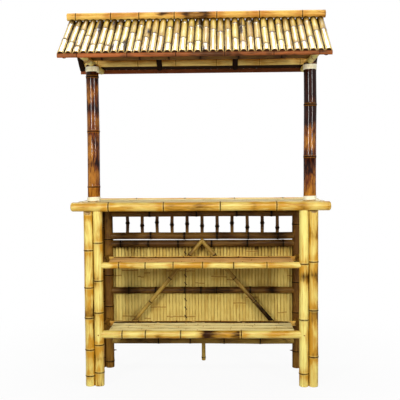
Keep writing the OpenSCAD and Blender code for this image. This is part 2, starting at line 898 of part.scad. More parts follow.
module server_tiles() {
    tile_row(0);
}

module guest_tiles() {
    mirror([0, 1, 0])
        tile_row(tiles);
}

module ridge_pole() {
    x0 = -ridge_len / 2 - roof_shift;
    x1 = ridge_len / 2 - roof_shift;
    z = roof_h - ridge_pole_d / 2;
    nodes = [for (t = ridge_node_tiles) (t * tile_step + ridge_overhang) / ridge_len];
    color("#a8742f")
        culm_x(x0, x1, 0, z, ridge_pole_d, nodes, node_rise, true, true);
}

// the pieces are drawn about the middle between the posts and set to the roof's middle here
module placed() {
    translate([roof_shift, 0, 0])
        children();
}

placed() server_leg_left_outer();
placed() server_leg_left_inner();
placed() server_leg_right_inner();
placed() server_leg_right_outer();
placed() guest_leg_left_outer();
placed() guest_leg_left_inner();
placed() guest_leg_right_inner();
placed() guest_leg_right_outer();
placed() counter_server_pole();
placed() counter_guest_pole();
placed() counter_end_poles();
placed() counter_deck();
placed() counter_bearers();
placed() counter_battens();
placed() upper_shelf_front_pole();
placed() upper_shelf_back_pole();
placed() upper_shelf_side_rails();
placed() upper_shelf_deck();
placed() lower_shelf_front_pole();
placed() lower_shelf_back_pole();
placed() lower_shelf_side_rails();
placed() lower_shelf_deck();
placed() shelf_battens();
placed() gallery_top_rail();
placed() gallery_bottom_rail();
placed() gallery_balusters();
placed() panel_top_rail();
placed() panel_middle_rail();
placed() panel_bottom_rail();
placed() panel_mats();
placed() braces();
placed() centre_stile();
placed() left_post();
placed() right_post();
placed() post_foot_bindings();
placed() post_head_bindings();
placed() cross_arms();
placed() tie_beam();
placed() ridge_beam();
placed() purlins();
placed() rafters();
placed() eave_strips();
placed() server_tiles();
placed() guest_tiles();
placed() ridge_pole();
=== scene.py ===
# %% [markdown]
# # A bamboo bar, from whole canes to split tiles
# The CAD model gives every piece its place and size. This lesson gives the pieces their skin: canes that
# swell at their nodes, split tiles, slatted mats and wound bindings. Each could be modelled by eye over the
# CAD, but here it takes its measures from the CAD solid that it stands for, so the two always agree.

# %% Load the frame
import math
import random

import bmesh
import bpy
import numpy as np
from mathutils import Matrix, Vector


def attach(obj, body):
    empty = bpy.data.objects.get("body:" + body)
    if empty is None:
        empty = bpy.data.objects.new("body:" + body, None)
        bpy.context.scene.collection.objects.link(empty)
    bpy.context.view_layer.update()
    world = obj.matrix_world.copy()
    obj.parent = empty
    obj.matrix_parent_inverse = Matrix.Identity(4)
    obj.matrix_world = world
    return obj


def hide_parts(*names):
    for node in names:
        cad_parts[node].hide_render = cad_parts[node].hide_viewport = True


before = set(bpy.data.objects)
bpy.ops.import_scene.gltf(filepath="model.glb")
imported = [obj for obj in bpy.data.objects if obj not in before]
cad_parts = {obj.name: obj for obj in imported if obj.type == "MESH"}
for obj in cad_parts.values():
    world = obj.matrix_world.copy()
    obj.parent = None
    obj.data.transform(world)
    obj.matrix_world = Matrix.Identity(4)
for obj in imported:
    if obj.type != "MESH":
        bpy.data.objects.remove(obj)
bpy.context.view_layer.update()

# %% [markdown]
# ## The camera
# The photo was taken from the servers' side, a little right of the middle and at chest height. A camera
# can be aimed with a tracking constraint, but a rotation built from yaw, pitch and roll says plainly how
# the real one was held, and it stays put when other cells change.

# %% Place the camera
CAMERA_AT = (0.1416, -3.908, 1.23)
YAW_DEG, PITCH_DEG, ROLL_DEG = 1.799, -2.54, -0.393
LENS_MM, SENSOR_MM = 58.28, 36.0
camera = bpy.data.objects.new("camera", bpy.data.cameras.new("camera"))
camera.data.sensor_width = SENSOR_MM
camera.data.lens = LENS_MM
turn = Matrix.Rotation(math.radians(YAW_DEG), 4, "Z")
turn = turn @ Matrix.Rotation(math.radians(90 + PITCH_DEG), 4, "X")
turn = turn @ Matrix.Rotation(math.radians(ROLL_DEG), 4, "Z")
camera.matrix_world = Matrix.Translation(CAMERA_AT) @ turn
bpy.context.scene.collection.objects.link(camera)
bpy.context.scene.camera = camera
bpy.context.scene.view_settings.view_transform = "Standard"
print("camera at", CAMERA_AT)

# %% [markdown]
# ## Shorthand for shader nodes
# Every finish on the bar is a pattern worked out by shader nodes. They could be wired by hand in the shader
# editor, but a tree that is written down can be read, changed and built again. Each helper adds one or two
# nodes and hands on the output, so that a whole pattern reads like a sum.

# %% Small helpers for node trees


def rgb(r, g, b):
    """A colour picked as screen values from 0 to 255, in the linear numbers that shaders use."""
    linear = [((c / 255 + 0.055) / 1.055) ** 2.4 if c > 10 else c / 255 / 12.92 for c in (r, g, b)]
    return (*linear, 1.0)


def put(tree, kind, settings=(), **sockets):
    """Adds a node. A socket that is given another socket is linked, anything else is its value."""
    node = tree.nodes.new(kind)
    for key, value in dict(settings).items():
        setattr(node, key, value)
    for key, value in sockets.items():
        name = key.replace("_", " ")
        numbered = name[0] == "i" and name[1:].isdigit()
        socket = node.inputs[int(name[1:])] if numbered else node.inputs[name]
        if isinstance(value, bpy.types.NodeSocket):
            tree.links.new(value, socket)
        else:
            socket.default_value = value
    return node


def mix(tree, fac, a, b):
    """A colour between two others."""
    settings = {"data_type": "RGBA", "clamp_factor": True}
    return put(tree, "ShaderNodeMix", settings, i0=fac, i6=a, i7=b).outputs[2]


def span(tree, value, low, high, to_low, to_high, kind="SMOOTHSTEP"):
    """Moves a value from one range to another, with a soft start and stop unless kind says LINEAR."""
    return put(tree, "ShaderNodeMapRange", {"interpolation_type": kind}, Value=value, From_Min=low,
               From_Max=high, To_Min=to_low, To_Max=to_high).outputs[0]


def sums(tree, operation, a, b):
    """One step of arithmetic."""
    return put(tree, "ShaderNodeMath", {"operation": operation}, i0=a, i1=b).outputs[0]


def plus(tree, a, b):
    return sums(tree, "ADD", a, b)


def times(tree, a, b):
    return sums(tree, "MULTIPLY", a, b)


def speckle(tree, vector, stretch, detail=2.0, distortion=0.0):
    """Noise along the grain, drawn out by three stretch numbers."""
    drawn = put(tree, "ShaderNodeVectorMath", {"operation": "MULTIPLY"}, i0=vector, i1=stretch)
    noise = put(tree, "ShaderNodeTexNoise", Vector=drawn.outputs[0], Scale=1.0, Detail=detail,
                Distortion=distortion)
    return noise.outputs[0]


print("grey card", rgb(119, 119, 119))

# %% [markdown]
# ## Light
# The bar was lit by two tall soft boxes, one on each side of the camera, which draw a thin bright line down
# each post, by a long one over the camera, whose line lies on the shelf poles, and by one overhead that
# whitens the crowns of the tiles. The space under the counter stays dark. A bright sky could light all of
# it at once, but area lamps can be moved one by one until each line lies where it should. A broad weaker
# one behind the bar shows the guests' side.

# %% Light the set
COUNTER_AIM = (0.0, 0.0, 1.0)


def add_lamp(name, at, aim, wide, tall, watts):
    """An area lamp that faces a point."""
    lamp = bpy.data.lights.new(name, "AREA")
    lamp.shape = "RECTANGLE"
    lamp.size, lamp.size_y = wide, tall
    lamp.energy = watts
    ob = bpy.data.objects.new(name, lamp)
    away = (Vector(at) - Vector(aim)).normalized()
    ob.matrix_world = Matrix.Translation(at) @ away.to_track_quat("Z", "Y").to_matrix().to_4x4()
    bpy.context.scene.collection.objects.link(ob)


add_lamp("lamp_overhead", (0.0, 0.78, 4.4), (0.0, 0.779, 1.0), wide=3.2, tall=0.34, watts=68)
add_lamp("lamp_front_left", (-2.4, -4.1, 2.05), COUNTER_AIM, wide=0.45, tall=1.0, watts=88)
add_lamp("lamp_front_right", (3.0, -4.1, 2.05), COUNTER_AIM, wide=0.45, tall=1.0, watts=84)
add_lamp("lamp_front_top", (0.1, -3.6, 3.0), COUNTER_AIM, wide=2.4, tall=0.3, watts=62)
add_lamp("lamp_back", (0.3, 4.2, 2.6), COUNTER_AIM, wide=2.0, tall=1.2, watts=18)
print("lamps", len(bpy.data.lights))

# %% [markdown]
# ## The white world
# Behind the bar everything is white. A world as bright as that would wash out every shadow on the bar, so
# the Light Path node tells apart who is asking: the camera and the varnish see white, and the light that
# falls on the bar is only a fraction of it.

# %% Whiten the world
WHITE = (1.0, 1.0, 1.0, 1.0)
WORLD_LEVEL = 0.16
world = bpy.data.worlds.new("studio")
bpy.context.scene.world = world
world.use_nodes = True
sky = world.node_tree
sky.nodes.clear()
seen = put(sky, "ShaderNodeLightPath").outputs
shown = sums(sky, "MAXIMUM", seen["Is Camera Ray"], seen["Is Glossy Ray"])
shown = sums(sky, "MAXIMUM", shown, seen["Is Transmission Ray"])
level = span(sky, shown, 0.0, 1.0, WORLD_LEVEL, 1.0, "LINEAR")
glow = put(sky, "ShaderNodeBackground", Color=WHITE, Strength=level)
put(sky, "ShaderNodeOutputWorld", Surface=glow.outputs[0])
print("world at", WORLD_LEVEL)

# %% [markdown]
# ## The floor
# The bar stands on white studio paper, with a faint shade round its feet. A shadow catcher would leave the
# ground see-through, so the paper is a wide disc that glows white to the camera and is plain matt paper to
# the light. Near the bar a little of the matt paper shows through, and with it the shadow.

# %% Lay the floor
FLOOR_R, FLOOR_SIDES, FLOOR_DROP = 40.0, 64, 0.001
SHADE_FROM, SHADE_TO = 0.4, 2.2
SHADE_LEVEL = 0.93
PAPER_GREY = (0.7, 0.7, 0.7, 1.0)
floor_mesh = bpy.data.meshes.new("floor")
floor_bm = bmesh.new()
bmesh.ops.create_circle(floor_bm, cap_ends=True, segments=FLOOR_SIDES, radius=FLOOR_R)
floor_bm.to_mesh(floor_mesh)
floor_bm.free()
floor = bpy.data.objects.new("floor", floor_mesh)
floor.location.z = -FLOOR_DROP
bpy.context.scene.collection.objects.link(floor)

paper = bpy.data.materials.new("studio_paper")
paper.use_nodes = True
tree = paper.node_tree
tree.nodes.clear()
where = put(tree, "ShaderNodeTexCoord").outputs["Object"]
reach = put(tree, "ShaderNodeVectorMath", {"operation": "LENGTH"}, i0=where).outputs["Value"]
fade = span(tree, reach, SHADE_FROM, SHADE_TO, SHADE_LEVEL, 1.0)
eye = put(tree, "ShaderNodeLightPath").outputs["Is Camera Ray"]
matt = put(tree, "ShaderNodeBsdfDiffuse", Color=PAPER_GREY).outputs[0]
white = put(tree, "ShaderNodeEmission", Color=WHITE).outputs[0]
blend = put(tree, "ShaderNodeMixShader", Fac=times(tree, fade, eye), i1=matt, i2=white)
put(tree, "ShaderNodeOutputMaterial", Surface=blend.outputs[0])
floor_mesh.materials.append(paper)
print("floor laid, radius", FLOOR_R)

# %% [markdown]
# ## Reading the CAD solids
# A node may hold one cane or a whole row of tiles. Their sizes could be typed in again, but a change in
# the CAD would then be missed. So the lesson looks for the separate solids in a node by walking from
# point to point along the edges of a welded copy. For a round cane it then reads the middle line, the
# radius and the places of the node rings, which stand proud of the skin.

# %% Find the solids of a node
WELD = 1e-5


def solids_of(node):
    """Point clouds of a node's separate solids, from left to right."""
    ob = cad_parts[node]
    welded = bmesh.new()
    welded.from_mesh(ob.data)
    welded.transform(ob.matrix_world)
    bmesh.ops.remove_doubles(welded, verts=welded.verts, dist=WELD)
    left, found = set(welded.verts), []
    while left:
        reached = [left.pop()]
        for vert in reached:
            for edge in vert.link_edges:
                other = edge.other_vert(vert)
                if other in left:
                    left.remove(other)
                    reached.append(other)
        found.append(np.array([v.co[:] for v in reached]))
    welded.free()
    return sorted(found, key=lambda pts: tuple(np.round(pts.mean(0), 3)))


print("solids in the deck of the counter", len(solids_of("counter_deck")))

# %% Measure a cane
RING_TOL = 0.00008
RING_APART = 0.012


def read_cane(points, axis):
    """Middle line, ends, radius and ring places of a cane that lies along x, y or z."""
    low, high = points.min(0), points.max(0)
    mid = (low + high) / 2
    cross = [i for i in range(3) if i != axis]
    far = np.hypot(*(points[:, cross] - mid[cross]).T)
    crest = far.max()
    places = np.sort(points[far > crest - RING_TOL, axis])
    groups = np.split(places, np.where(np.diff(places) > RING_APART)[0] + 1)
    return {
        "axis": axis,
        "mid": mid,
        "lo": low[axis],
        "hi": high[axis],
        "radius": far[far < crest - RING_TOL].max(),
        "rings": [float(g.mean()) for g in groups],
    }


def canes_of(node, axis):
    return [read_cane(points, axis) for points in solids_of(node)]


print("cane on the server pole", canes_of("counter_server_pole", 0)[0])

# %% [markdown]
# ## Canes from loops of points
# A cane could be a cylinder with a displacement texture, but its nodes would then be only as sharp as the
# mesh. Here every cane is a stack of rings of points: close together at a node, where the skin swells,
# dips and swells again, and far apart between nodes. Four numbers ride on every point for the materials:
# the place in the grain, the distance to the nearest node, the tone of that cane, and how far it was
# darkened, by flame marks and by painted shade.

# %% A bundle of points and faces
SKIN, CUT, HOLLOW = 0, 1, 2


def new_bundle():
    return {"verts": [], "faces": [], "skin": [], "grain": [], "ring": [], "tone": [], "burn": []}


def add_points(bundle, points, grain, ring, tone, burn):
    """Adds points with their four numbers and returns where they start."""
    first = len(bundle["verts"])
    bundle["verts"].extend(map(tuple, points))
    bundle["grain"].extend(map(tuple, grain))
    bundle["ring"].extend(ring)
    bundle["tone"].extend([tone] * len(points))
    bundle["burn"].extend(burn)
    return first


def add_face(bundle, corners, skin):
    bundle["faces"].append(tuple(corners))
    bundle["skin"].append(skin)


def bridge(bundle, first, second, count, skin):
    """Faces between two loops of points."""
    for i in range(count):
        j = (i + 1) % count
        add_face(bundle, (first + i, first + j, second + j, second + i), skin)


def cap(bundle, first, count, skin, flip=False):
    """One face over a loop of points."""
    corners = range(first, first + count)
    add_face(bundle, corners[::-1] if flip else corners, skin)


print("a bundle holds", ", ".join(new_bundle()))

# %% Numbers that ride on the points
FAR_FROM_RING = 0.2
SEED = 41
PATTERN_SIZE = 40
SIDE_LEVEL, SIDE_SWING = 0.5, 0.75
dice = random.Random(SEED)


def near_ring(t, rings):
    """Distance to the nearest node."""
    return np.min([np.abs(t - r) for r in rings] + [np.full_like(t, FAR_FROM_RING)], axis=0)


def mark_strength(t, angle, length, burns):
    """Strength of listed flame marks and painted shade: (share of length, half width, strength, side or
    None).
    """
    total = np.zeros_like(t)
    for share, half, strength, side in burns:
        mark = strength * np.exp(-(((t - share * length) / half) ** 2))
        if side is not None:
            facing = np.cos(angle - math.radians(side))
            mark = mark * np.clip(SIDE_LEVEL + SIDE_SWING * facing, 0, 1)
        total = total + mark
    return np.clip(total, 0, 1)


def grain_start():
    """A random place in the pattern, so that no two canes look alike."""
    return np.array([dice.uniform(0, PATTERN_SIZE) for _ in range(3)])


print("halfway to a node", near_ring(np.array([0.25]), [0.2, 0.3]))

# %% [markdown]
# ## The shape of a node
# At a node the skin rises to a ridge, dips to the line where the leaf sheath sat, and rises again. A bump in
# the material could show that from the front, but not in the outline against a white ground. So each node
# gets eleven loops of its own, and the smooth stretches only as many as they need.

# %% Where the loops lie
NODE_SHAPE = [
    (-0.013, 0.0), (-0.007, 0.18), (-0.0034, 0.6), (-0.0017, 1.0), (-0.0007, 0.8), (0.0, 0.1),
    (0.0008, 0.7), (0.002, 0.95), (0.0048, 0.4), (0.010, 0.1), (0.016, 0.0),
]
END_MARGIN = 0.001


def stations_along(rings, low, high, rise, spacing):
    """Places along a cane that need a loop of points, each with the swelling of the skin there."""
    found = {low: 0.0, high: 0.0}
    for ring in rings:
        for step, share in NODE_SHAPE:
            if low + END_MARGIN < ring + step < high - END_MARGIN:
                found[ring + step] = share * rise
    places = sorted(found)
    for a, b in zip(places, places[1:]):
        parts = int((b - a) / spacing) + 1
        for k in range(1, parts):
            found[a + (b - a) * k / parts] = 0.0
    return sorted(found.items())


print("loops on a metre with one node", len(stations_along([0.5], 0.0, 1.0, 0.001, 0.07)))

# %% [markdown]
# ## Ends of a cane
# Sawn ends stay open down to the first node, so one looks into the bore. The long edge poles were rounded
# with a file. One flat face could close either, but then the cane would look like a dowel. A few more loops
# give the bevel of the saw, the bore with its floor, or the filed curve.

# %% Loops that close an end
OPEN_DEPTH = 0.045
EASE = 0.0012
ROUND_R = 0.012
ROUND_ANGLES = (0, 25, 50, 70, 90)


def end_loops(kind, base, sign, radius, bore):
    """Loops of one end, from the inside out: (place, radius, cut or skin)."""
    bevel = [(base, radius - EASE, CUT), (base + sign * EASE, radius, SKIN)]
    if kind == "open":
        return [(base + sign * OPEN_DEPTH, bore, CUT), (base, bore, CUT)] + bevel
    if kind == "round":
        turned = [math.radians(a) for a in ROUND_ANGLES]
        return [(base + sign * EASE, radius - ROUND_R - EASE, CUT)] + [
            (base + sign * ROUND_R * (1 - math.cos(a)), radius - ROUND_R * (1 - math.sin(a)), SKIN)
            for a in turned
        ]
    if kind == "flat":
        return bevel
    return [(base, radius, SKIN)]


print("loops of an open end", len(end_loops("open", 0.0, 1, 0.026, 0.018)))

# %% [markdown]
# ## Marks round a cane
# Where two legs stand side by side, the crease between them is darkened as painted shade, and so is the far
# side of each, as painted shade at the edge of its outline. One foot has dried out and split. Such marks
# could be painted on, but painted ones need a picture. Here they are worked out from the angle round the
# cane, and a crack also pushes the skin in.

# %% Painted shade and cracks
# CONTACT_SHADE is painted shade in the crease where two canes touch; OUTER_EDGE_SHADE is painted shade on
# the far side.
CONTACT_SHADE, CONTACT_SHADE_WIDTH, OUTER_EDGE_SHADE = 0.95, 0.5, 0.45
CRACK_WIDTH = 0.16


def round_angles(sides):
    return np.linspace(0, 2 * math.pi, sides, endpoint=False)


def turned_from(angle, side):
    """Angles counted from one side of a cane, at most half a turn either way."""
    return (angle - math.radians(side) + math.pi) % (2 * math.pi) - math.pi


def side_shade_round(angle, grime):
    """Painted shade on the side where a cane touches another one, and on the side away from it."""
    if grime is None:
        return np.zeros_like(angle)
    off = turned_from(angle, grime)
    side_shade = CONTACT_SHADE * np.exp(-((off / CONTACT_SHADE_WIDTH) ** 2))
    return side_shade + OUTER_EDGE_SHADE * np.exp(-(((math.pi - np.abs(off)) / CONTACT_SHADE_WIDTH) ** 2))


def crack_share(angle, t, cracks):
    """How far the skin has sunk into cracks that start at the foot: (side, reach up the cane)."""
    dip = np.zeros_like(angle)
    for side, reach in cracks:
        off = turned_from(angle, side)
        dip = dip + np.clip(1 - np.abs(off) / CRACK_WIDTH, 0, 1) * np.clip(1 - t / reach, 0, 1)
    return dip


print("dirt on the four sides", np.round(side_shade_round(round_angles(4), 0), 2))

# %% [markdown]
# ## One whole cane
# A cane is never quite round or straight: it is a little oval, swells towards its nodes and leans by a hair
# from one to the next. A cylinder could be bent afterwards with a lattice. It is simpler to shift each loop
# as it is laid, and then to bridge all loops from one end to the other.

# %% Directions and skin of a cane
STEEP = 0.95
SWELL, SWELL_REACH = 0.0005, 0.03
CANE_SPACING = 0.07


def cane_axes(start, end):
    """Length of a cane, the way along it, up (or x for a standing cane) and across."""
    length = float(np.linalg.norm(end - start))
    along = (end - start) / length
    up = np.array((1.0, 0, 0)) if abs(along[2]) > STEEP else np.array((0, 0, 1.0))
    across = np.cross(along, up)
    across = across / np.linalg.norm(across)
    return length, along, np.cross(across, along), across


def skin_loops(rings, low, high, radius, rise):
    """Loops of the skin between the two ends."""
    made = []
    for t, rise_here in stations_along(rings, low, high, rise, CANE_SPACING):
        near = float(near_ring(np.array([t]), rings)[0])
        made.append((t, radius + rise_here + SWELL * math.exp(-((near / SWELL_REACH) ** 2)), SKIN))
    return made


print("loops of skin on a metre with one node", len(skin_loops([0.5], 0.0, 1.0, 0.026, 0.0014)))

# %% Build one cane
OVAL = 0.006
WALL_SHARE = 0.16
CRACK_DEPTH, CRACK_BURN = 0.005, 1.4
END_CLEAR = 0.004


def add_cane(bundle, start, end, radius, rings, lo="flat", hi="flat", sides=24, rise=0.0014,
             sway=0.0008, burns=(), tone=None, cracks=(), grime=None):
    """A cane from start to end. lo and hi are open, round, flat, or a function that says where it stops.

    grime is the side, in degrees, where the cane touches another one; shade is painted there and on the far
    side.
    """
    start, end = np.array(start, float), np.array(end, float)
    length, along, up, across = cane_axes(start, end)
    angle = round_angles(sides)
    rays = np.outer(np.cos(angle), up) + np.outer(np.sin(angle), across)
    oval = 1 + OVAL * np.cos(2 * (angle - dice.uniform(0, math.pi)))
    # painted shade in the crease against the neighbouring cane and on the far side
    side_shade = side_shade_round(angle, grime)
    tone = dice.random() if tone is None else tone
    shift = grain_start()
    knots = [0.0] + list(rings) + [length]
    bends = [(dice.gauss(0, sway), dice.gauss(0, sway)) for _ in rings]
    bends = np.clip(np.array([(0.0, 0.0)] + bends + [(0.0, 0.0)]), -2 * sway, 2 * sway)

    def centre(t):
        lean = np.interp(t, knots, bends[:, 0])
        slip = np.interp(t, knots, bends[:, 1])
        return start + np.outer(t, along) + np.outer(lean, up) + np.outer(slip, across)

    def loop(t, r):
        t = np.broadcast_to(np.asarray(t, float), (sides,))
        dip = crack_share(angle, t, cracks)
        points = centre(t) + rays * (r * oval - CRACK_DEPTH * dip)[:, None]
        grain = np.column_stack((r * np.cos(angle), r * np.sin(angle), t)) + shift
        burn = np.clip(mark_strength(t, angle, length, burns) + CRACK_BURN * dip + side_shade, 0, 1)
        return add_points(bundle, points, grain, near_ring(t, rings), tone, burn)

    def hub(t):
        t = np.array([float(np.mean(t))])
        grain = np.array([[0, 0, t[0]]]) + shift
        return add_points(bundle, centre(t), grain, near_ring(t, rings), tone, [0.0])

    def stop(kind, base):
        return np.array([kind(start + ray * radius) for ray in rays]) if callable(kind) else base

    t_lo, t_hi = stop(lo, 0.0), stop(hi, length)
    bore = radius * (1 - 2 * WALL_SHARE)
    clear_lo = float(np.max(t_lo)) + END_CLEAR + (ROUND_R if lo == "round" else 0)
    clear_hi = float(np.min(t_hi)) - END_CLEAR - (ROUND_R if hi == "round" else 0)
    whole = end_loops(lo, t_lo, 1, radius, bore)
    whole = whole + skin_loops(rings, clear_lo, clear_hi, radius, rise)
    whole = whole + end_loops(hi, t_hi, -1, radius, bore)[::-1]
    made = [loop(t, r) for t, r, _ in whole]
    for k in range(len(made) - 1):
        bridge(bundle, made[k + 1], made[k], sides, max(whole[k][2], whole[k + 1][2]))
    low_hub, high_hub = hub(whole[0][0]), hub(whole[-1][0])
    for i in range(sides):
        j = (i + 1) % sides
        add_face(bundle, (low_hub, made[0] + j, made[0] + i), CUT)
        add_face(bundle, (high_hub, made[-1] + i, made[-1] + j), CUT)


trial = new_bundle()
add_cane(trial, (0, 0, 0), (0, 0, 1), 0.026, [0.3, 0.6], tone=0.5)
print("points on a trial cane", len(trial["verts"]))

# %% [markdown]
# ## Hollowed ends
# An end that meets another cane is hollowed to fit round it, which is the joint that holds the whole bar
# together. A Boolean cut could do that, but it leaves ragged faces. Here each line along the skin runs on
# until it touches the other cane, so the end has no more points than the rest.

# %% Where a cane meets another
SEAT = 0.0012


def against(cane, others, end):
    """Says where each line along a cane's skin stops against the round canes that it meets."""
    axis = cane["axis"]

    def stop(point):
        best = cane["lo"] if end == "lo" else cane["hi"]
        for other in others:
            side = 3 - axis - other["axis"]
            off = point[side] - other["mid"][side]
            r = other["radius"] - SEAT
            if abs(off) < r:
                depth = math.sqrt(r * r - off * off)
                at = other["mid"][axis]
                best = max(best, at + depth) if end == "lo" else min(best, at - depth)
        return best - cane["lo"]

    return stop


def lay_cane(bundle, cane, lo="flat", hi="flat", **look):
    """Adds a cane that was read from the CAD. A list for lo or hi holds the canes that it meets there."""
    axis = cane["axis"]
    start, end = np.array(cane["mid"]), np.array(cane["mid"])
    start[axis], end[axis] = cane["lo"], cane["hi"]
    rings = [r - cane["lo"] for r in cane["rings"]]
    lo = against(cane, lo, "lo") if isinstance(lo, list) else lo
    hi = against(cane, hi, "hi") if isinstance(hi, list) else hi
    add_cane(bundle, start, end, cane["radius"], rings, lo, hi, **look)


print("hollows are sunk by", SEAT)

# %% [markdown]
# ## Strips from an outline
# Tiles, slats, rafters and eave strips are split canes: one outline pushed along a line. A curve with a
# bevel object could do that, but it would not swell at the nodes. So the outline is a list of points, each
# marked as skin, cut or hollow, because only skin swells. A fourth number darkens a point as painted shade,
# along the edges of tiles and slats, where the shade between neighbours falls. The ends are closed with one
# face each.

# %% Build one strip


def signed_area(flat):
    """Twice the area of an outline, below zero if it runs clockwise."""
    after = np.roll(flat, -1, 0)
    return float(np.sum(flat[:, 0] * after[:, 1] - after[:, 0] * flat[:, 1]))


def outward(flat):
    """Directions out of an outline at each of its points."""
    out = np.roll(flat, -1, 0) - np.roll(flat, 1, 0)
    out = np.column_stack((out[:, 1], -out[:, 0]))
    out = out / np.linalg.norm(out, axis=1)[:, None]
    return out if signed_area(flat) > 0 else -out


def kind_between(a, b):
    """Kind of a face between two points: skin needs two points of skin."""
    if SKIN in (a, b):
        return SKIN if a == b else CUT
    return max(a, b)


def add_strip(bundle, outline, origin, along, across, up, length, rings=(), rise=0.0008, tone=None,
              burns=(), shape=None, spacing=0.12):
    """Pushes an outline of (across, up, kind, stain) along a line. shape(t, outline) may move its points."""
    origin, along, across, up = (np.array(v, float) for v in (origin, along, across, up))
    flat = np.array([point[:2] for point in outline], float)
    kinds = [point[2] for point in outline]
    bare = np.array([kind == SKIN for kind in kinds], float)
    shade_mark = np.array([point[3] if len(point) > 3 else 0.0 for point in outline])
    count, out = len(outline), outward(flat)
    tone = dice.random() if tone is None else tone
    shift = grain_start()
    made = []
    for t, rise_here in stations_along(rings, 0.0, length, rise, spacing):
        moved = (shape(t, flat) if shape else flat) + out * (rise_here * bare)[:, None]
        points = origin + t * along + np.outer(moved[:, 0], across) + np.outer(moved[:, 1], up)
        place, angle = np.full(count, t), np.arctan2(moved[:, 1], moved[:, 0])
        grain = np.column_stack((moved, place)) + shift
        burn = np.clip(mark_strength(place, angle, length, burns) + shade_mark, 0, 1)
        made.append(add_points(bundle, points, grain, near_ring(place, list(rings)), tone, burn))
    outside = np.dot(np.cross(across, up), along) * signed_area(flat) > 0
    for a, b in zip(made, made[1:]):
        for i in range(count):
            j = (i + 1) % count
            face = (a + i, a + j, b + j, b + i)
            add_face(bundle, face if outside else face[::-1], kind_between(kinds[i], kinds[j]))
    cap(bundle, made[0], count, CUT, flip=outside)
    cap(bundle, made[-1], count, CUT, flip=not outside)


trial = new_bundle()
square_rod = [(0, 0, SKIN), (1, 0, SKIN), (1, 1, CUT), (0, 1, CUT)]
add_strip(trial, square_rod, (0, 0, 0), (0, 0, 1), (1, 0, 0), (0, 1, 0), 1.0, tone=0.5)
print("faces on a trial strip", len(trial["faces"]))

# %% [markdown]
# ## From points to a piece
# A mesh could be grown face by face with edit tools, but one made in one go from lists is quick and holds
# nothing stray. The four numbers become attributes of the mesh, where the materials can read them. Every
# piece rides on the bar's one body and hides the CAD nodes that it stands for.

# %% Turn a bundle into a piece
SMOOTH_DEG = 42


def make_piece(name, bundle, materials, slot, *nodes):
    """A mesh object that rides on the bar and stands for its CAD nodes."""
    mesh = bpy.data.meshes.new(name)
    mesh.from_pydata(bundle["verts"], [], bundle["faces"])
    mesh.polygons.foreach_set("material_index", bundle["skin"])
    grain = mesh.attributes.new("grain", "FLOAT_VECTOR", "POINT")
    grain.data.foreach_set("vector", np.array(bundle["grain"], np.float32).ravel())
    for key in ("ring", "tone", "burn"):
        number = mesh.attributes.new(key, "FLOAT", "POINT")
        number.data.foreach_set("value", np.array(bundle[key], np.float32))
    mesh.polygons.foreach_set("use_smooth", [True] * len(mesh.polygons))
    mesh.set_sharp_from_angle(angle=math.radians(SMOOTH_DEG))
    for material in materials:
        mesh.materials.append(material)
    mesh.validate()
    ob = bpy.data.objects.new(name, mesh)
    bpy.context.scene.collection.objects.link(ob)
    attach(ob, "root")
    if nodes:
        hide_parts(*nodes)
    mesh.calc_loop_triangles()
    print(name, len(mesh.loop_triangles), "triangles")


print("edges over", SMOOTH_DEG, "degrees stay sharp")

# %% [markdown]
# ## The skin of a cane, as a node group
# Bamboo skin is straw yellow with fine lengthwise fibres. The maker runs a flame over it, which leaves
# orange clouds and streaks, and brushes on varnish. At every node there is a dark scar where the leaf
# sheath grew, with a pale waxy band beside it. Each material could hold all of this on its own, but one
# node group serves all canes, tiles and slats, and each material gives it its own colours. The group reads
# the four numbers on the points, so grain and scars follow every cane whichever way it lies.

# %% Groups and readings


def new_group(name, colours, numbers, outputs):
    """A node group with named sockets, its inputs and its outputs."""
    group = bpy.data.node_groups.new(name, "ShaderNodeTree")
    for label in colours:
        group.interface.new_socket(label, in_out="INPUT", socket_type="NodeSocketColor")
    for label in numbers:
        group.interface.new_socket(label, in_out="INPUT", socket_type="NodeSocketFloat")
    for label in outputs:
        kind = "NodeSocketColor" if label == "Color" else "NodeSocketFloat"
        group.interface.new_socket(label, in_out="OUTPUT", socket_type=kind)
    return group, group.nodes.new("NodeGroupInput").outputs, group.nodes.new("NodeGroupOutput").inputs


def reading(tree, name):
    """One of the numbers on the points."""
    return put(tree, "ShaderNodeAttribute", {"attribute_name": name}).outputs


print("numbers on the points: grain, ring, tone, burn")

# %% Patterns in the skin
skin, given, result = new_group(
    "cane_skin",
    ("Pale", "Deep", "Char", "Scar"),
    ("Toast", "Mottle", "Gloss", "Dull", "Patchy", "Scar Width"),
    ("Color", "Roughness", "Varnish", "Height"),
)
grain_at = reading(skin, "grain")["Vector"]
# the burn numbers carry flame marks and painted shade alike; both darken the skin towards char
ring_at, tone_at, burn_and_shade_at = (reading(skin, key)["Fac"] for key in ("ring", "tone", "burn"))
fibre = speckle(skin, grain_at, (900, 900, 9), 3.0)
cloud = speckle(skin, grain_at, (16, 16, 4.5), 3.0, 0.6)
streak = speckle(skin, grain_at, (150, 150, 5), 2.0)
mottle = speckle(skin, grain_at, (90, 90, 22), 4.0)
fleck = speckle(skin, grain_at, (420, 420, 160), 1.0)
print("patterns read the grain through", len(skin.nodes), "nodes")
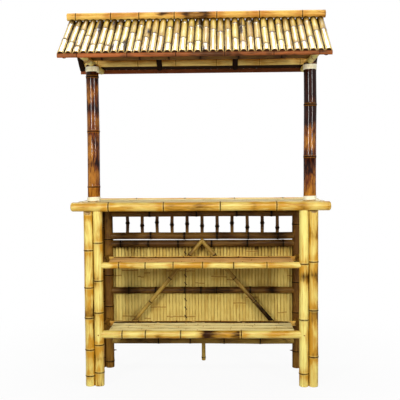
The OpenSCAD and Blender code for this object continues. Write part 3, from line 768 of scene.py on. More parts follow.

# %% [markdown]
# ### From straw yellow to char
# The flame works in steps: straw turns to orange first, and only strong heat chars it. One colour ramp
# could hold all steps, but then the colours could not differ from material to material. So the heat is
# added up from clouds, streaks, tone and burns, together with painted shade, and mixed in twice: pale to
# deep, then deep to char.

# %% Colour of the skin
cloudy = span(skin, cloud, 0.46, 0.72, 0.0, 1.0)
at_node = times(skin, span(skin, ring_at, 0.0, 0.06, 0.75, 0.0), span(skin, cloud, 0.3, 0.6, 0.25, 1.0))
toasted = times(skin, plus(skin, cloudy, at_node), given["Toast"])
toned = span(skin, tone_at, 0.0, 1.0, -0.15, 0.35, "LINEAR")
mottled = times(skin, span(skin, mottle, 0.35, 0.75, -0.08, 0.22), given["Mottle"])
streaked = span(skin, streak, 0.4, 0.7, -0.08, 0.3)
amount = plus(skin, plus(skin, toasted, toned), plus(skin, mottled, streaked))
warm = mix(skin, plus(skin, amount, burn_and_shade_at), given["Pale"], given["Deep"])
burning_and_shade = plus(skin, burn_and_shade_at, times(skin, mottled, 0.9))
char_and_shade_share = span(skin, burning_and_shade, 0.35, 1.0, 0.0, 1.0)
charred_and_shaded = mix(skin, char_and_shade_share, warm, given["Char"])
fibre_light = span(skin, fibre, 0.25, 0.75, 0.86, 1.1)
fibred = put(skin, "ShaderNodeHueSaturation", Color=charred_and_shaded, Value=fibre_light).outputs[0]
flecked = mix(skin, span(skin, fleck, 0.7, 0.8, 0.0, 0.3), fibred, given["Scar"])
wax_from = span(skin, ring_at, 0.0025, 0.0045, 0.0, 0.3)
wax_to = span(skin, ring_at, 0.006, 0.011, 1.0, 0.0)
waxed = mix(skin, times(skin, wax_from, wax_to), flecked, given["Pale"])
line = span(skin, ring_at, 0.0, given["Scar Width"], 1.0, 0.0)
line = times(skin, line, span(skin, mottle, 0.25, 0.6, 0.6, 1.0))
skin.links.new(mix(skin, line, waxed, given["Scar"]), result["Color"])
print("colour of the skin,", len(skin.nodes), "nodes so far")

# %% [markdown]
# ### Varnish and relief
# The varnish lies over the skin as a clear coat. It has worn off at the scars, where the skin was charred,
# and in patches. One roughness for everything could stand for that, but a coat with a mask keeps the sharp
# line of a lamp beside the dull places. The group puts out the mask, and the material has the coat.

# %% Varnish and relief of the skin
rough = times(skin, given["Gloss"], span(skin, mottle, 0.3, 0.8, 0.8, 1.5))
skin.links.new(plus(skin, rough, times(skin, line, 0.25)), result["Roughness"])
dull_here = times(skin, sums(skin, "MAXIMUM", line, char_and_shade_share), given["Dull"])
patches = times(skin, span(skin, cloud, 0.4, 0.62, 0.0, 1.0), given["Patchy"])
worn = sums(skin, "MINIMUM", sums(skin, "MAXIMUM", dull_here, patches), 1.0)
skin.links.new(sums(skin, "SUBTRACT", 1.0, worn), result["Varnish"])
bumpy = plus(skin, times(skin, fibre, 0.6), times(skin, mottle, 0.5))
skin.links.new(sums(skin, "SUBTRACT", bumpy, line), result["Height"])
print("group", skin.name, len(skin.nodes), "nodes")

# %% [markdown]
# ## Cut fibre, as a second group
# Where a cane is sawn or split, no skin is left: the cut shows pale pith with dots and lines of fibre, and
# it is matt. The skin's group with other colours would still have scars and varnish, so cuts have a smaller
# group of their own. It serves the rattan of the bindings too, whose strips are split from a vine.

# %% The group for cut fibre
# This soot colour darkens cut faces both where they were burnt and where shade is painted.
SOOT_AND_SHADE = rgb(46, 28, 14)
cut, cut_in, cut_out = new_group(
    "cut_fibre", ("Light", "Dark"), ("Stretch",), ("Color", "Roughness", "Height"),
)
cut_grain = reading(cut, "grain")["Vector"]
cut_tone, cut_burn_and_shade = (reading(cut, key)["Fac"] for key in ("tone", "burn"))
threads = speckle(cut, cut_grain, (1500, 1500, 14), 2.0)
stains = speckle(cut, cut_grain, (45, 45, 12), 3.0)
share = times(cut, span(cut, threads, 0.35, 0.7, 0.0, 0.8), cut_in["Stretch"])
share = plus(cut, share, span(cut, stains, 0.4, 0.75, 0.0, 0.5))
share = plus(cut, share, span(cut, cut_tone, 0.0, 1.0, -0.15, 0.2, "LINEAR"))
cut_colour = mix(cut, share, cut_in["Light"], cut_in["Dark"])
cut_colour = mix(cut, times(cut, cut_burn_and_shade, 0.85), cut_colour, SOOT_AND_SHADE)
cut.links.new(cut_colour, cut_out["Color"])
cut.links.new(span(cut, stains, 0.3, 0.8, 0.5, 0.75), cut_out["Roughness"])
cut.links.new(plus(cut, threads, stains), cut_out["Height"])
print("group", cut.name, len(cut.nodes), "nodes")

# %% [markdown]
# ## Materials round the groups
# A material is a group with its colours, a shallow bump and one shader. Materials could be copied and
# changed by hand, but a function with named values shows at a glance in what two finishes differ. The
# more a finish shines, the stronger its coat, and past a full coat the skin below starts to mirror too.

# %% Build a material
RELIEF = 0.0006
COAT_SPREAD = 1.15
CUT_MIRROR = 0.12
FULL_COAT = 0.5


def finish(name, group, values, bump, mirror, coat=0.0, coat_rough=0.3):
    """A material round one of the two groups, with a coat of varnish where the group has a mask for it."""
    material = bpy.data.materials.new(name)
    material.use_nodes = True
    tree = material.node_tree
    tree.nodes.clear()
    pattern = put(tree, "ShaderNodeGroup", {"node_tree": group})
    for key, value in values.items():
        pattern.inputs[key].default_value = value
    relief = put(tree, "ShaderNodeBump", Strength=bump, Distance=RELIEF, Height=pattern.outputs["Height"])
    shader = put(tree, "ShaderNodeBsdfPrincipled", Base_Color=pattern.outputs["Color"],
                 Roughness=pattern.outputs["Roughness"], Normal=relief.outputs[0],
                 Specular_IOR_Level=mirror, Coat_Roughness=coat_rough)
    if "Varnish" in pattern.outputs:
        varnish = times(tree, pattern.outputs["Varnish"], coat)
        tree.links.new(varnish, shader.inputs["Coat Weight"])
    put(tree, "ShaderNodeOutputMaterial", Surface=shader.outputs[0])
    return material


def cane_finish(name, pale, deep, char, scar, toast, gloss, shine=0.25, bump=0.15, scar_width=0.0055,
                mottle=1.0, dull=0.8, patchy=0.0):
    """Skin in four colours, from pale straw to char, with the colour of the node scars last."""
    # The char colour is also the colour of the painted shade that comes in with the burn numbers.
    values = {"Pale": rgb(*pale), "Deep": rgb(*deep), "Char": rgb(*char), "Scar": rgb(*scar)}
    values |= {"Toast": toast, "Mottle": mottle, "Gloss": gloss, "Dull": dull}
    values |= {"Patchy": patchy, "Scar Width": scar_width}
    mirror, coat = max(0.0, shine - FULL_COAT), min(1.0, shine / FULL_COAT)
    return finish(name, skin, values, bump, mirror, coat, gloss * COAT_SPREAD)


def cut_finish(name, light, dark, stretch, bump=0.4):
    """A cut in two colours."""
    values = {"Light": rgb(*light), "Dark": rgb(*dark), "Stretch": stretch}
    return finish(name, cut, values, bump, CUT_MIRROR)


print("full coat from a shine of", FULL_COAT)

# %% [markdown]
# ## Finishes of whole canes
# The servers' legs and poles are yellow and varnished. The guests' legs are a darker brown, the rails
# older and browner, the braces tan, the ridge pole amber. The posts were stained nearly black over the
# flame's marks and polished. One yellow, shaded by the light alone, would lose this, so each kind has its
# own.

# %% Whole canes
cane_yellow = cane_finish(
    "cane_yellow", (239, 223, 126), (197, 142, 32), (52, 27, 10), (44, 24, 10),
    toast=0.85, gloss=0.26, shine=0.4, scar_width=0.0075,
)
cane_tan = cane_finish(
    "cane_tan", (178, 146, 64), (124, 92, 32), (24, 14, 7), (28, 17, 9),
    toast=0.7, gloss=0.4, scar_width=0.008,
)
# A darker brown cane, for the guests' legs and the side rails of the shelves.
cane_umber = cane_finish(
    "cane_umber", (150, 108, 36), (100, 64, 18), (24, 13, 6), (22, 12, 6),
    toast=0.7, gloss=0.4, shine=0.15, scar_width=0.008,
)
cane_brown = cane_finish(
    "cane_brown", (128, 92, 36), (80, 51, 17), (20, 11, 6), (18, 10, 6),
    toast=0.8, gloss=0.34, shine=0.2, scar_width=0.012,
)
cane_dark = cane_finish(
    "cane_dark", (192, 126, 38), (108, 50, 12), (34, 11, 7), (30, 12, 7),
    toast=0.8, gloss=0.07, shine=0.2, bump=0.01, scar_width=0.007, mottle=2.2, dull=0.25,
)
cane_amber = cane_finish(
    "cane_amber", (238, 192, 92), (196, 130, 42), (56, 36, 22), (46, 28, 14),
    toast=0.7, gloss=0.34, scar_width=0.006,
)
purlin_skin = cane_finish(
    "purlin_skin", (250, 218, 128), (212, 166, 80), (112, 76, 30), (150, 110, 50),
    toast=0.9, gloss=0.5, shine=0.15,
)
print("finishes of whole canes are ready")

# %% [markdown]
# ## Finishes of split canes
# The tiles are golden and glossy, with broad scars and varnish worn off in patches. Slats of decks, mats
# and the upper lining are paler or warmer and nearly matt. The strips at the eaves are stained brown, and
# the rafters are brown darkened nearly to black. They could share a finish and differ by tone, but tone
# only shifts a cane between two colours.

# %% Split canes
split_tile = cane_finish(
    "split_tile", (234, 206, 86), (184, 142, 42), (40, 24, 8), (44, 26, 11),
    toast=0.7, gloss=0.1, shine=0.62, bump=0.03, scar_width=0.013, dull=1.6, patchy=0.4,
)
split_slat = cane_finish(
    "split_slat", (255, 240, 172), (234, 202, 120), (64, 38, 18), (206, 168, 98), toast=0.6, gloss=0.48,
)
deck_slat = cane_finish(
    "deck_slat", (244, 228, 166), (216, 188, 118), (64, 38, 18), (196, 160, 96), toast=0.6, gloss=0.48,
)
split_warm = cane_finish(
    "split_warm", (242, 192, 114), (206, 142, 68), (64, 32, 16), (176, 116, 58), toast=0.6, gloss=0.45,
)
mat_slat = cane_finish(
    "mat_slat", (226, 203, 114), (194, 160, 76), (74, 50, 20), (160, 120, 56),
    toast=0.6, gloss=0.5, shine=0.15, scar_width=0.008,
)
lining_skin = cane_finish(
    "lining_skin", (236, 188, 88), (192, 132, 46), (70, 42, 16), (40, 24, 10),
    toast=0.7, gloss=0.45, shine=0.15,
)
split_brown = cane_finish(
    "split_brown", (164, 90, 40), (92, 54, 25), (34, 20, 12), (30, 18, 10),
    toast=0.7, gloss=0.42, shine=0.2,
)
print("finishes of split canes are ready")

# %% [markdown]
# ## Finishes of cuts and cords
# Sawn ends are pale, split sides tan, and the hollows of the tiles brown with age. The walls that close
# the tiles and the lower lining of the roof are nearly black, as painted shade. The rattan is nearly white
# and the twine nearly black. A cut could borrow the colour of its skin, but it is the change from one to
# the other that shows how thick a split cane is.

# %% Cuts and cords
sawn_end = cut_finish("sawn_end", (226, 202, 146), (164, 124, 70), 0.8)
split_side = cut_finish("split_side", (206, 176, 110), (150, 112, 58), 0.7)
tile_hollow = cut_finish("tile_hollow", (150, 110, 56), (104, 70, 32), 0.7)
# This nearly black finish is painted shade, for the walls at the tiles' ends and for the lower lining.
tile_wall = cut_finish("tile_wall", (52, 31, 15), (30, 18, 10), 0.7)
tile_rim = cut_finish("tile_rim", (250, 214, 134), (204, 156, 84), 0.6)
eave_back = cut_finish("eave_back", (150, 78, 36), (88, 42, 18), 0.7)
brown_side = cut_finish("brown_side", (66, 38, 22), (36, 21, 13), 0.7)
rattan = cut_finish("rattan", (255, 250, 222), (246, 230, 180), 0.4, bump=0.5)
twine = cut_finish("twine", (58, 38, 20), (30, 19, 11), 0.8, bump=0.6)
print("materials", len(bpy.data.materials))

# %% [markdown]
# ## The legs
# Four pairs of legs carry the counter. Each leg is a whole cane, a little crooked from node to node, sawn
# open at the foot and hollowed at the head for the pole or bearer that lies on it. The left inner leg of
# the servers' row has dried out and cracked at its foot. One leg could be copied eight times, but every
# real one has its own nodes and burns, so a loop builds them with the marks that the photo shows.

# %% Read the legs and poles
legs = {}
for row in ("server", "guest"):
    for place in ("left_outer", "left_inner", "right_inner", "right_outer"):
        node = f"{row}_leg_{place}"
        legs[node] = canes_of(node, 2)[0]
server_pole = canes_of("counter_server_pole", 0)[0]
guest_pole = canes_of("counter_guest_pole", 0)[0]
bearers = canes_of("counter_bearers", 1)
middle_x = sum(leg["mid"][0] for leg in legs.values()) / len(legs)


def same_side(a, b):
    return (a["mid"][0] - middle_x) * (b["mid"][0] - middle_x) > 0


def cane_piece(node, canes, skin_finish, lo="flat", hi="flat", slot="cane_yellow", **look):
    """One piece for the canes of a node that are built alike."""
    bundle = new_bundle()
    for cane in canes:
        lay_cane(bundle, cane, lo, hi, **look)
    make_piece(node + "_cane", bundle, [skin_finish, sawn_end], slot, node)


print("legs", len(legs), "bearers", len(bearers))

# %% Stand the legs
LEG_BURNS = {
    "server_leg_left_outer": [
        (0.42, 0.045, 0.8, -70), (0.73, 0.05, 0.5, -120), (0.30, 0.05, 0.4, -60), (0.96, 0.04, 0.15, None),
    ],
    "server_leg_left_inner": [
        (0.16, 0.04, 0.5, -100), (0.6, 0.06, 0.6, -150), (0.86, 0.05, 0.45, -40), (0.4, 0.05, 0.45, -150),
    ],
    "server_leg_right_inner": [(0.61, 0.035, 1.0, -60), (0.03, 0.03, 0.3, -90), (0.3, 0.03, 0.3, -150)],
    "server_leg_right_outer": [
        (0.62, 0.05, 0.85, -50), (0.41, 0.06, 0.8, -60), (0.86, 0.05, 0.6, -60), (0.2, 0.05, 0.6, -50),
        (0.95, 0.04, 0.5, -40),
    ],
    "guest_leg_left_inner": [(0.92, 0.2, 0.5, -90)],
    "guest_leg_right_inner": [(0.6, 0.5, 0.5, None)],
}
LEG_TONES = {
    "server_leg_left_outer": 0.45,
    "server_leg_left_inner": 0.4,
    "server_leg_right_inner": 0.1,
    "server_leg_right_outer": 0.8,
    "guest_leg_right_inner": 1.0,
}
FOOT_CRACKS = {"server_leg_left_inner": [(-105, 0.05), (-62, 0.04), (-85, 0.03)]}
LEG_MOVES = {
    "server_leg_right_inner": [0.0, 0.0, -0.047],
    "server_leg_right_outer": [0.0, 0.0, -0.026],
    "server_leg_left_outer": [0.0, 0.0, 0.0, 0.0, 0.0, 0.014],
    "guest_leg_left_inner": [0.0, 0.0, 0.0, 0.0, -0.09],
}
LEG_FULLER = 0.0009


def moved_rings(cane, moves):
    """Node rings shifted to where the photo shows them, or left alone if it agrees with the CAD."""
    return [ring + move for ring, move in zip(cane["rings"], moves)] if moves else cane["rings"]


for node, cane in legs.items():
    partner = legs[node.replace("outer", "inner") if "outer" in node else node.replace("inner", "outer")]
    touching = 0 if partner["mid"][0] > cane["mid"][0] else 180
    serving = node.startswith("server")
    seat = [server_pole] if serving else []
    seat = seat + [bearer for bearer in bearers if same_side(bearer, cane)]
    stout = dict(cane, radius=cane["radius"] + LEG_FULLER, rings=moved_rings(cane, LEG_MOVES.get(node)))
    cane_piece(node, [stout], cane_yellow if serving else cane_umber, "open", seat, sides=36, rise=0.0018,
               burns=LEG_BURNS.get(node, ()), cracks=FOOT_CRACKS.get(node, ()), tone=LEG_TONES.get(node),
               grime=touching)

# %% [markdown]
# ## The frame of the counter
# Two long poles with rounded ends and two short ones frame the deck, and two bearers and two battens carry
# it. Cylinders could be joined with Booleans at the corners. Here the short poles and the bearers simply
# stop against the long ones, with hollowed ends.

# %% Frame the counter
POLE_BURNS = [
    (0.05, 0.05, 0.45, 110), (0.88, 0.04, 0.9, 115), (0.55, 0.025, 0.8, 95), (0.4, 0.1, 0.6, 125),
    (0.7, 0.05, 0.5, 110), (0.98, 0.03, 0.6, 90), (0.5, 0.05, 0.6, 110), (0.22, 0.08, 0.4, 130),
]
WHOLE_LENGTH = 5.0
GUEST_POLE_BURNS = [(0.5, WHOLE_LENGTH, 0.3, None)]
HIDDEN = {"rise": 0.0002, "sway": 0}
cane_piece("counter_server_pole", [server_pole], cane_yellow, "round", "round", sides=36, tone=1.0,
           burns=POLE_BURNS)
cane_piece("counter_guest_pole", [guest_pole], cane_yellow, "round", "round", sides=36, rise=0.0006, sway=0,
           tone=1.0, burns=GUEST_POLE_BURNS)
cane_piece("counter_end_poles", canes_of("counter_end_poles", 1), cane_yellow, [server_pole], [guest_pole],
           sides=32)
cane_piece("counter_bearers", bearers, cane_brown, [server_pole], [guest_pole], sides=28, **HIDDEN)
cane_piece("counter_battens", canes_of("counter_battens", 1), cane_brown, **HIDDEN)

# %% [markdown]
# ## The decks
# A deck is a row of split slats, crowned a little, with eased edges that are darkened as painted shade
# between neighbours. Each has its own tone and node lines, and where the posts come through the counter,
# the slats beside them are notched. One board with a striped material would be lighter, but the light could
# not catch the edges. On the shelves every third slat is browner, and the rear ones are darker.

# %% Shape the slats
CROWN, CROWN_SHARE, CROWN_AT = 0.0009, 0.2, 0.45
# The second value darkens the eased edges of slats, as painted shade between neighbours.
SLAT_EASE, EDGE_PAINTED_SHADE = 0.0014, 0.6
NOTCH_CLEAR, NOTCH_REACH = 0.0008, 0.004
FIRST_NODE, NODES_APART = (0.05, 0.3), (0.24, 0.36)
posts = {name: canes_of(name, 2)[0] for name in ("left_post", "right_post")}
post_r = max(post["radius"] for post in posts.values())
post_reach = (posts["right_post"]["mid"][0] - posts["left_post"]["mid"][0]) / 2
post_middle = (posts["right_post"]["mid"][0] + posts["left_post"]["mid"][0]) / 2


def slat_outline(width, thick):
    """A slat seen from its end: crowned on top, eased at the upper edges, flat below."""
    w, edge, rim = width / 2, thick - SLAT_EASE - CROWN, thick - CROWN
    shoulder = (w * CROWN_AT, thick - CROWN * CROWN_SHARE)
    return [
        (-w, 0, CUT), (w, 0, CUT), (w, edge, SKIN, EDGE_PAINTED_SHADE), (w - SLAT_EASE, rim, SKIN),
        (shoulder[0], shoulder[1], SKIN), (0, thick, SKIN), (-shoulder[0], shoulder[1], SKIN),
        (-w + SLAT_EASE, rim, SKIN), (-w, edge, SKIN, EDGE_PAINTED_SHADE),
    ]


def notch(low, high):
    """Keeps the edge of a slat off a post that it passes."""
    middle, edge = (low[1] + high[1]) / 2, post_r + NOTCH_CLEAR
    beside = abs(middle) < edge + (high[1] - low[1]) / 2

    def notched(t, flat):
        if not beside or abs(low[0] + t - post_middle) < post_reach - post_r - NOTCH_REACH:
            return flat
        y = middle - flat[:, 0]
        y = np.maximum(y, edge) if middle > 0 else np.minimum(y, -edge)
        return np.column_stack((middle - y, flat[:, 1]))

    return notched


def scattered(length):
    """Random node places along a split slat."""
    places, t = [], dice.uniform(*FIRST_NODE)
    while t < length:
        places.append(t)
        t += dice.uniform(*NODES_APART)
    return places


print("posts come through", post_reach, "either side of", post_middle)

# %% Lay the decks
# The rear slats of each shelf are darkened in spots.
REAR_REACH, REAR_MARKS, REAR_HALF = 0.03, 9, (0.05, 0.2)
STRIPE_EVERY, STRIPE_BURN = 3, 0.5
SLAT_MARK, SLAT_MARK_HALF = 0.3, 0.08
SLAT_RISE = 0.0003
COARSE, FINE = 0.12, 0.03


def lay_deck(name, node, material, notches, darkening=0.0, tones=(0.0, 1.0)):
    """Slats side by side. darkening makes the rear slats of a shelf darker and browns every third of the
    others.
    """
    bundle = new_bundle()
    slats = solids_of(node)
    rear = max(points[:, 1].max() for points in slats) - REAR_REACH
    for k, points in enumerate(slats):
        low, high = points.min(0), points.max(0)
        length = high[0] - low[0]
        rings = scattered(length)
        burns = [(dice.random(), SLAT_MARK_HALF, dice.uniform(0, SLAT_MARK), None)]
        if high[1] > rear:
            burns += [(dice.random(), dice.uniform(*REAR_HALF), darkening, None) for _ in range(REAR_MARKS)]
        elif k % STRIPE_EVERY == STRIPE_EVERY - 1:
            burns += [(0.5, WHOLE_LENGTH, darkening * STRIPE_BURN, None)]
        outline = slat_outline(high[1] - low[1], high[2] - low[2])
        origin = (low[0], (low[1] + high[1]) / 2, low[2])
        add_strip(bundle, outline, origin, (1, 0, 0), (0, -1, 0), (0, 0, 1), length, rings, rise=SLAT_RISE,
                  burns=burns, tone=dice.uniform(*tones), shape=notch(low, high) if notches else None,
                  spacing=FINE if notches else COARSE)
    make_piece(name, bundle, [material, split_side], "split_slat", node)


lay_deck("counter_deck_slats", "counter_deck", deck_slat, True, tones=(0.2, 0.9))
lay_deck("upper_shelf_slats", "upper_shelf_deck", split_warm, False, 0.7, tones=(0.0, 0.4))
lay_deck("lower_shelf_slats", "lower_shelf_deck", split_slat, False, 0.9, tones=(0.0, 0.1))

# %% [markdown]
# ## The shelves
# Each shelf hangs between the inner legs: a stout front pole, a thinner back pole between two side rails,
# and slats on small battens. The front poles were flamed in places, and one burn on the lower pole is
# nearly black. Burns could come from noise alone, but these are so plain in the photo that each is listed,
# as a share of the pole's length and a side.

# %% Hang the shelves
FRONT_BURNS = {
    "upper": [(0.15, 0.03, 0.4, 90), (0.44, 0.03, 0.35, 100), (0.75, 0.03, 0.4, 90), (0.9, 0.05, 0.25, 90)],
    "lower": [
        (0.532, 0.03, 1.4, 80), (0.30, 0.05, 0.6, 110), (0.68, 0.02, 1.2, 90), (0.60, 0.05, 0.8, 60),
        (0.9, 0.06, 0.35, 90),
    ],
}
BACK_BURNS = [(0.35, 0.12, 0.4, 90), (0.5, 0.08, 0.45, 90)]
left_legs = [legs["server_leg_left_inner"]]
right_legs = [legs["server_leg_right_inner"]]
fronts = {}
for shelf in ("upper", "lower"):
    node = f"{shelf}_shelf_front_pole"
    fronts[shelf] = canes_of(node, 0)[0]
    cane_piece(node, [fronts[shelf]], cane_yellow, left_legs, right_legs, sides=32, rise=0.0013, tone=0.8,
               burns=FRONT_BURNS[shelf])
    node = f"{shelf}_shelf_side_rails"
    side_rails = canes_of(node, 1)
    bundle = new_bundle()
    for cane in side_rails:
        near = [leg for name, leg in legs.items() if "inner" in name and same_side(leg, cane)]
        before = [leg for leg in near if leg["mid"][1] < cane["mid"][1]]
        behind = [leg for leg in near if leg["mid"][1] > cane["mid"][1]]
        lay_cane(bundle, cane, before, behind, sides=28)
    make_piece(node + "_cane", bundle, [cane_umber, sawn_end], "cane_yellow", node)
    node = f"{shelf}_shelf_back_pole"
    cane_piece(node, canes_of(node, 0), cane_amber, [side_rails[0]], [side_rails[-1]], burns=BACK_BURNS)

# %% [markdown]
# ## The battens of the shelves
# Under the slats lie short split battens, flat on top and eased at their lower edges. They hardly show, so
# a plain box could do. A strip with an outline of six points costs no more and gives them a skin.

# %% Split the battens
BATTEN_EASE = 0.004
BATTEN_NODE = (0.05, 0.2)
bundle = new_bundle()
for points in solids_of("shelf_battens"):
    low, high = points.min(0), points.max(0)
    w, h, e = (high[0] - low[0]) / 2, high[2] - low[2], BATTEN_EASE
    outline = [(-w + e, 0, SKIN), (w - e, 0, SKIN), (w, e, SKIN), (w, h, CUT), (-w, h, CUT), (-w, e, SKIN)]
    add_strip(bundle, outline, ((low[0] + high[0]) / 2, low[1], low[2]), (0, 1, 0), (1, 0, 0), (0, 0, 1),
              high[1] - low[1], [dice.uniform(*BATTEN_NODE)], rise=0.0)
make_piece("shelf_battens_split", bundle, [split_slat, split_side], "split_slat", "shelf_battens")

# %% [markdown]
# ## The rails of the guests' panel
# Behind the shelves, five rails run between the guests' legs. The upper two hold a small gallery, and the
# lower three carry the mats. These canes are older and darker than the legs, and their nodes are nearly
# black. A darker scar colour alone would leave a thin line, so each node also gets a burn all round.

# %% Run the rails
RAIL_BURNS = {
    "gallery_top_rail": [(0.2, 0.2, 0.15, None)],
    "gallery_bottom_rail": [
        (0.05, 0.1, 0.5, None), (0.4, 0.15, 0.25, None), (0.62, 0.06, 0.7, 90), (0.93, 0.08, 0.7, None),
    ],
    "panel_top_rail": [
        (0.1, 0.2, 0.6, None), (0.92, 0.05, 0.6, None), (0.7, 0.15, 0.5, None), (0.4, 0.1, 0.4, None),
    ],
    "panel_middle_rail": [
        (0.1, 0.1, 0.5, 90), (0.45, 0.4, 0.5, None), (0.62, 0.03, 0.8, 40), (0.87, 0.028, 0.95, 90),
        (0.55, 0.03, 0.5, 120),
    ],
    "panel_bottom_rail": [(0.15, 0.12, 0.6, None), (0.33, 0.1, 0.45, None)],
}
RAIL_RINGS = {
    "gallery_top_rail": [-0.3, -0.0077, 0.2427, 0.4586],
    "gallery_bottom_rail": [-0.2938, -0.0839, 0.1199, 0.3136, 0.4975],
}
RAIL_FULLER = {"gallery_bottom_rail": 0.0011, "panel_top_rail": 0.0011}
RING_BURN, RING_BURN_HALF = 0.55, 0.008
left_guest = [legs["guest_leg_left_inner"]]
right_guest = [legs["guest_leg_right_inner"]]


def ring_burns(cane, half, strength):
    """Flame marks all round each node of a cane."""
    length = cane["hi"] - cane["lo"]
    return [((ring - cane["lo"]) / length, half, strength, None) for ring in cane["rings"]]


rails = {}
for node, burns in RAIL_BURNS.items():
    rails[node] = canes_of(node, 0)[0]
    full = dict(rails[node], radius=rails[node]["radius"] + RAIL_FULLER.get(node, 0.0),
                rings=RAIL_RINGS.get(node, rails[node]["rings"]))
    finish_of_rail = cane_tan if node == "panel_bottom_rail" else cane_brown
    cane_piece(node, [full], finish_of_rail, left_guest, right_guest, sides=28, rise=0.0018, tone=0.5,
               burns=burns + ring_burns(full, RING_BURN_HALF, RING_BURN))

# %% [markdown]
# ## The gallery
# Eleven thin balusters stand between the upper two rails, each with one thick node. An array of one
# baluster would put all nodes at one height, but in the photo they jump up and down, so each has its own
# share of the gap between the rails.

# %% Stand the balusters
BALUSTER_NODES = (0.40, 0.56, 0.36, 0.51, 0.46, 0.59, 0.62, 0.42, 0.69, 0.42, 0.72)
BALUSTER_BURN, BALUSTER_BURN_HALF = 1.0, 0.016
BALUSTER_TONES = (0.2, 0.9)
top_rail, bottom_rail = rails["gallery_top_rail"], rails["gallery_bottom_rail"]
gallery_high = top_rail["mid"][2] - top_rail["radius"]
gallery_low = bottom_rail["mid"][2] + bottom_rail["radius"]
bundle = new_bundle()
for k, cane in enumerate(canes_of("gallery_balusters", 2)):
    cane["rings"] = [gallery_high - BALUSTER_NODES[k % len(BALUSTER_NODES)] * (gallery_high - gallery_low)]
    burns = ring_burns(cane, BALUSTER_BURN_HALF, BALUSTER_BURN)
    lay_cane(bundle, cane, [bottom_rail], [top_rail], sides=20, rise=0.0042, sway=0.001, burns=burns,
             tone=dice.uniform(*BALUSTER_TONES))
make_piece("gallery_balusters_cane", bundle, [cane_brown, sawn_end], "cane_yellow", "gallery_balusters")

# %% [markdown]
# ## Braces and stile
# Two slanting canes brace the panel and meet at the top in a mitre. A stile stands behind the mats. A
# bisect could cut the mitre, but the cane already knows how to stop: each line along its skin ends at the
# plane between the two braces.

# %% Cross the braces
BRACE_NODES = (0.2, 0.4, 0.63, 0.86)
BRACE_BURNS = {
    -1: [(0.1, 0.05, 0.3, None), (0.92, 0.08, 0.4, None)],
    1: [(0.2, 0.16, 1.0, None), (0.45, 0.08, 0.5, None), (0.96, 0.05, 0.4, None)],
}
BRACE_SPARE, MITRE_GAP = 0.0012, 0.0003
THIN_CANE = {"sides": 22, "rise": 0.0016}
bundle = new_bundle()
brace_solids = solids_of("braces")
brace_middle = (brace_solids[0][:, 0].max() + brace_solids[1][:, 0].min()) / 2
brace_top = rails["panel_top_rail"]["mid"][2] + rails["panel_top_rail"]["radius"]
tall = brace_top - rails["panel_bottom_rail"]["mid"][2]
for points, side in zip(brace_solids, (-1, 1)):
    low, high = points.min(0), points.max(0)
    y, r = (low[1] + high[1]) / 2, (high[1] - low[1]) / 2 - BRACE_SPARE
    head = np.array((brace_middle, y, brace_top))
    outer = low[0] if side < 0 else high[0]
    lean = math.atan2(abs(outer - brace_middle), tall)
    foot = np.array((outer - side * r * math.cos(lean), y, brace_top - tall))
    reach = float(np.linalg.norm(head - foot))
    slope = (head - foot) / reach

    def mitre(point, slope=slope, side=side):
        """Stops the brace at the plane between the two braces."""
        return (brace_middle + side * MITRE_GAP - point[0]) / slope[0]

    add_cane(bundle, foot, head, r, [s * reach for s in BRACE_NODES], "open", mitre, tone=0.5,
             burns=BRACE_BURNS[side], **THIN_CANE)
make_piece("braces_cane", bundle, [cane_tan, sawn_end], "cane_yellow", "braces")
cane_piece("centre_stile", canes_of("centre_stile", 2), cane_tan, "open", "open", **THIN_CANE)

# %% [markdown]
# ## The mats
# A mat is a row of split slats, each rounded on both faces, with a groove between neighbours that is
# darkened as painted shade. Slats cut from one cane lie side by side, so a handful of neighbours share their
# tone and the height of their node line. Their upper ends, under the counter, are darkened as painted
# shade. A flat panel with a wave texture would show stripes, but no grooves at its edge, so every slat is a
# strip of its own.

# %% Weave the mats
MAT_STEP = 0.02
# The third number in MAT_FACE is painted shade towards the groove between two slats.
MAT_FACE = [
    (-0.502, 0.34, 0.75), (-0.46, 0.14, 0.5), (-0.36, 0.04, 0.1), (0.0, 0.0, 0.0), (0.36, 0.04, 0.1),
    (0.46, 0.14, 0.5), (0.502, 0.34, 0.75),
]
SLATS_IN_CANE = (2, 6)
CANE_TONE_SHARE, SLAT_TONE = 0.7, (0.15, 0.2)
MAT_NODE, MAT_NODES, MAT_NODES_APART, MAT_NODE_SLIP, TOP_CLEAR = (0.03, 0.3), 3, 0.29, 0.0012, 0.02
MAT_MARKS, MAT_MARK_HALF = (0, 0, 0, 0.3), 0.05
# MAT_SHADE is painted shade at the tops of the mats, under the counter.
MAT_SHADE, MAT_SHADE_HALF = 0.8, 0.09


def mat_outline(step, depth):
    """A slat of the mat from above: rounded faces, and tongues that close the groove between two slats."""
    front = [(a * step, b * depth, SKIN, shade_mark) for a, b, shade_mark in MAT_FACE]
    return front + [(a * step, (1 - b) * depth, SKIN, shade_mark) for a, b, shade_mark in MAT_FACE[::-1]]


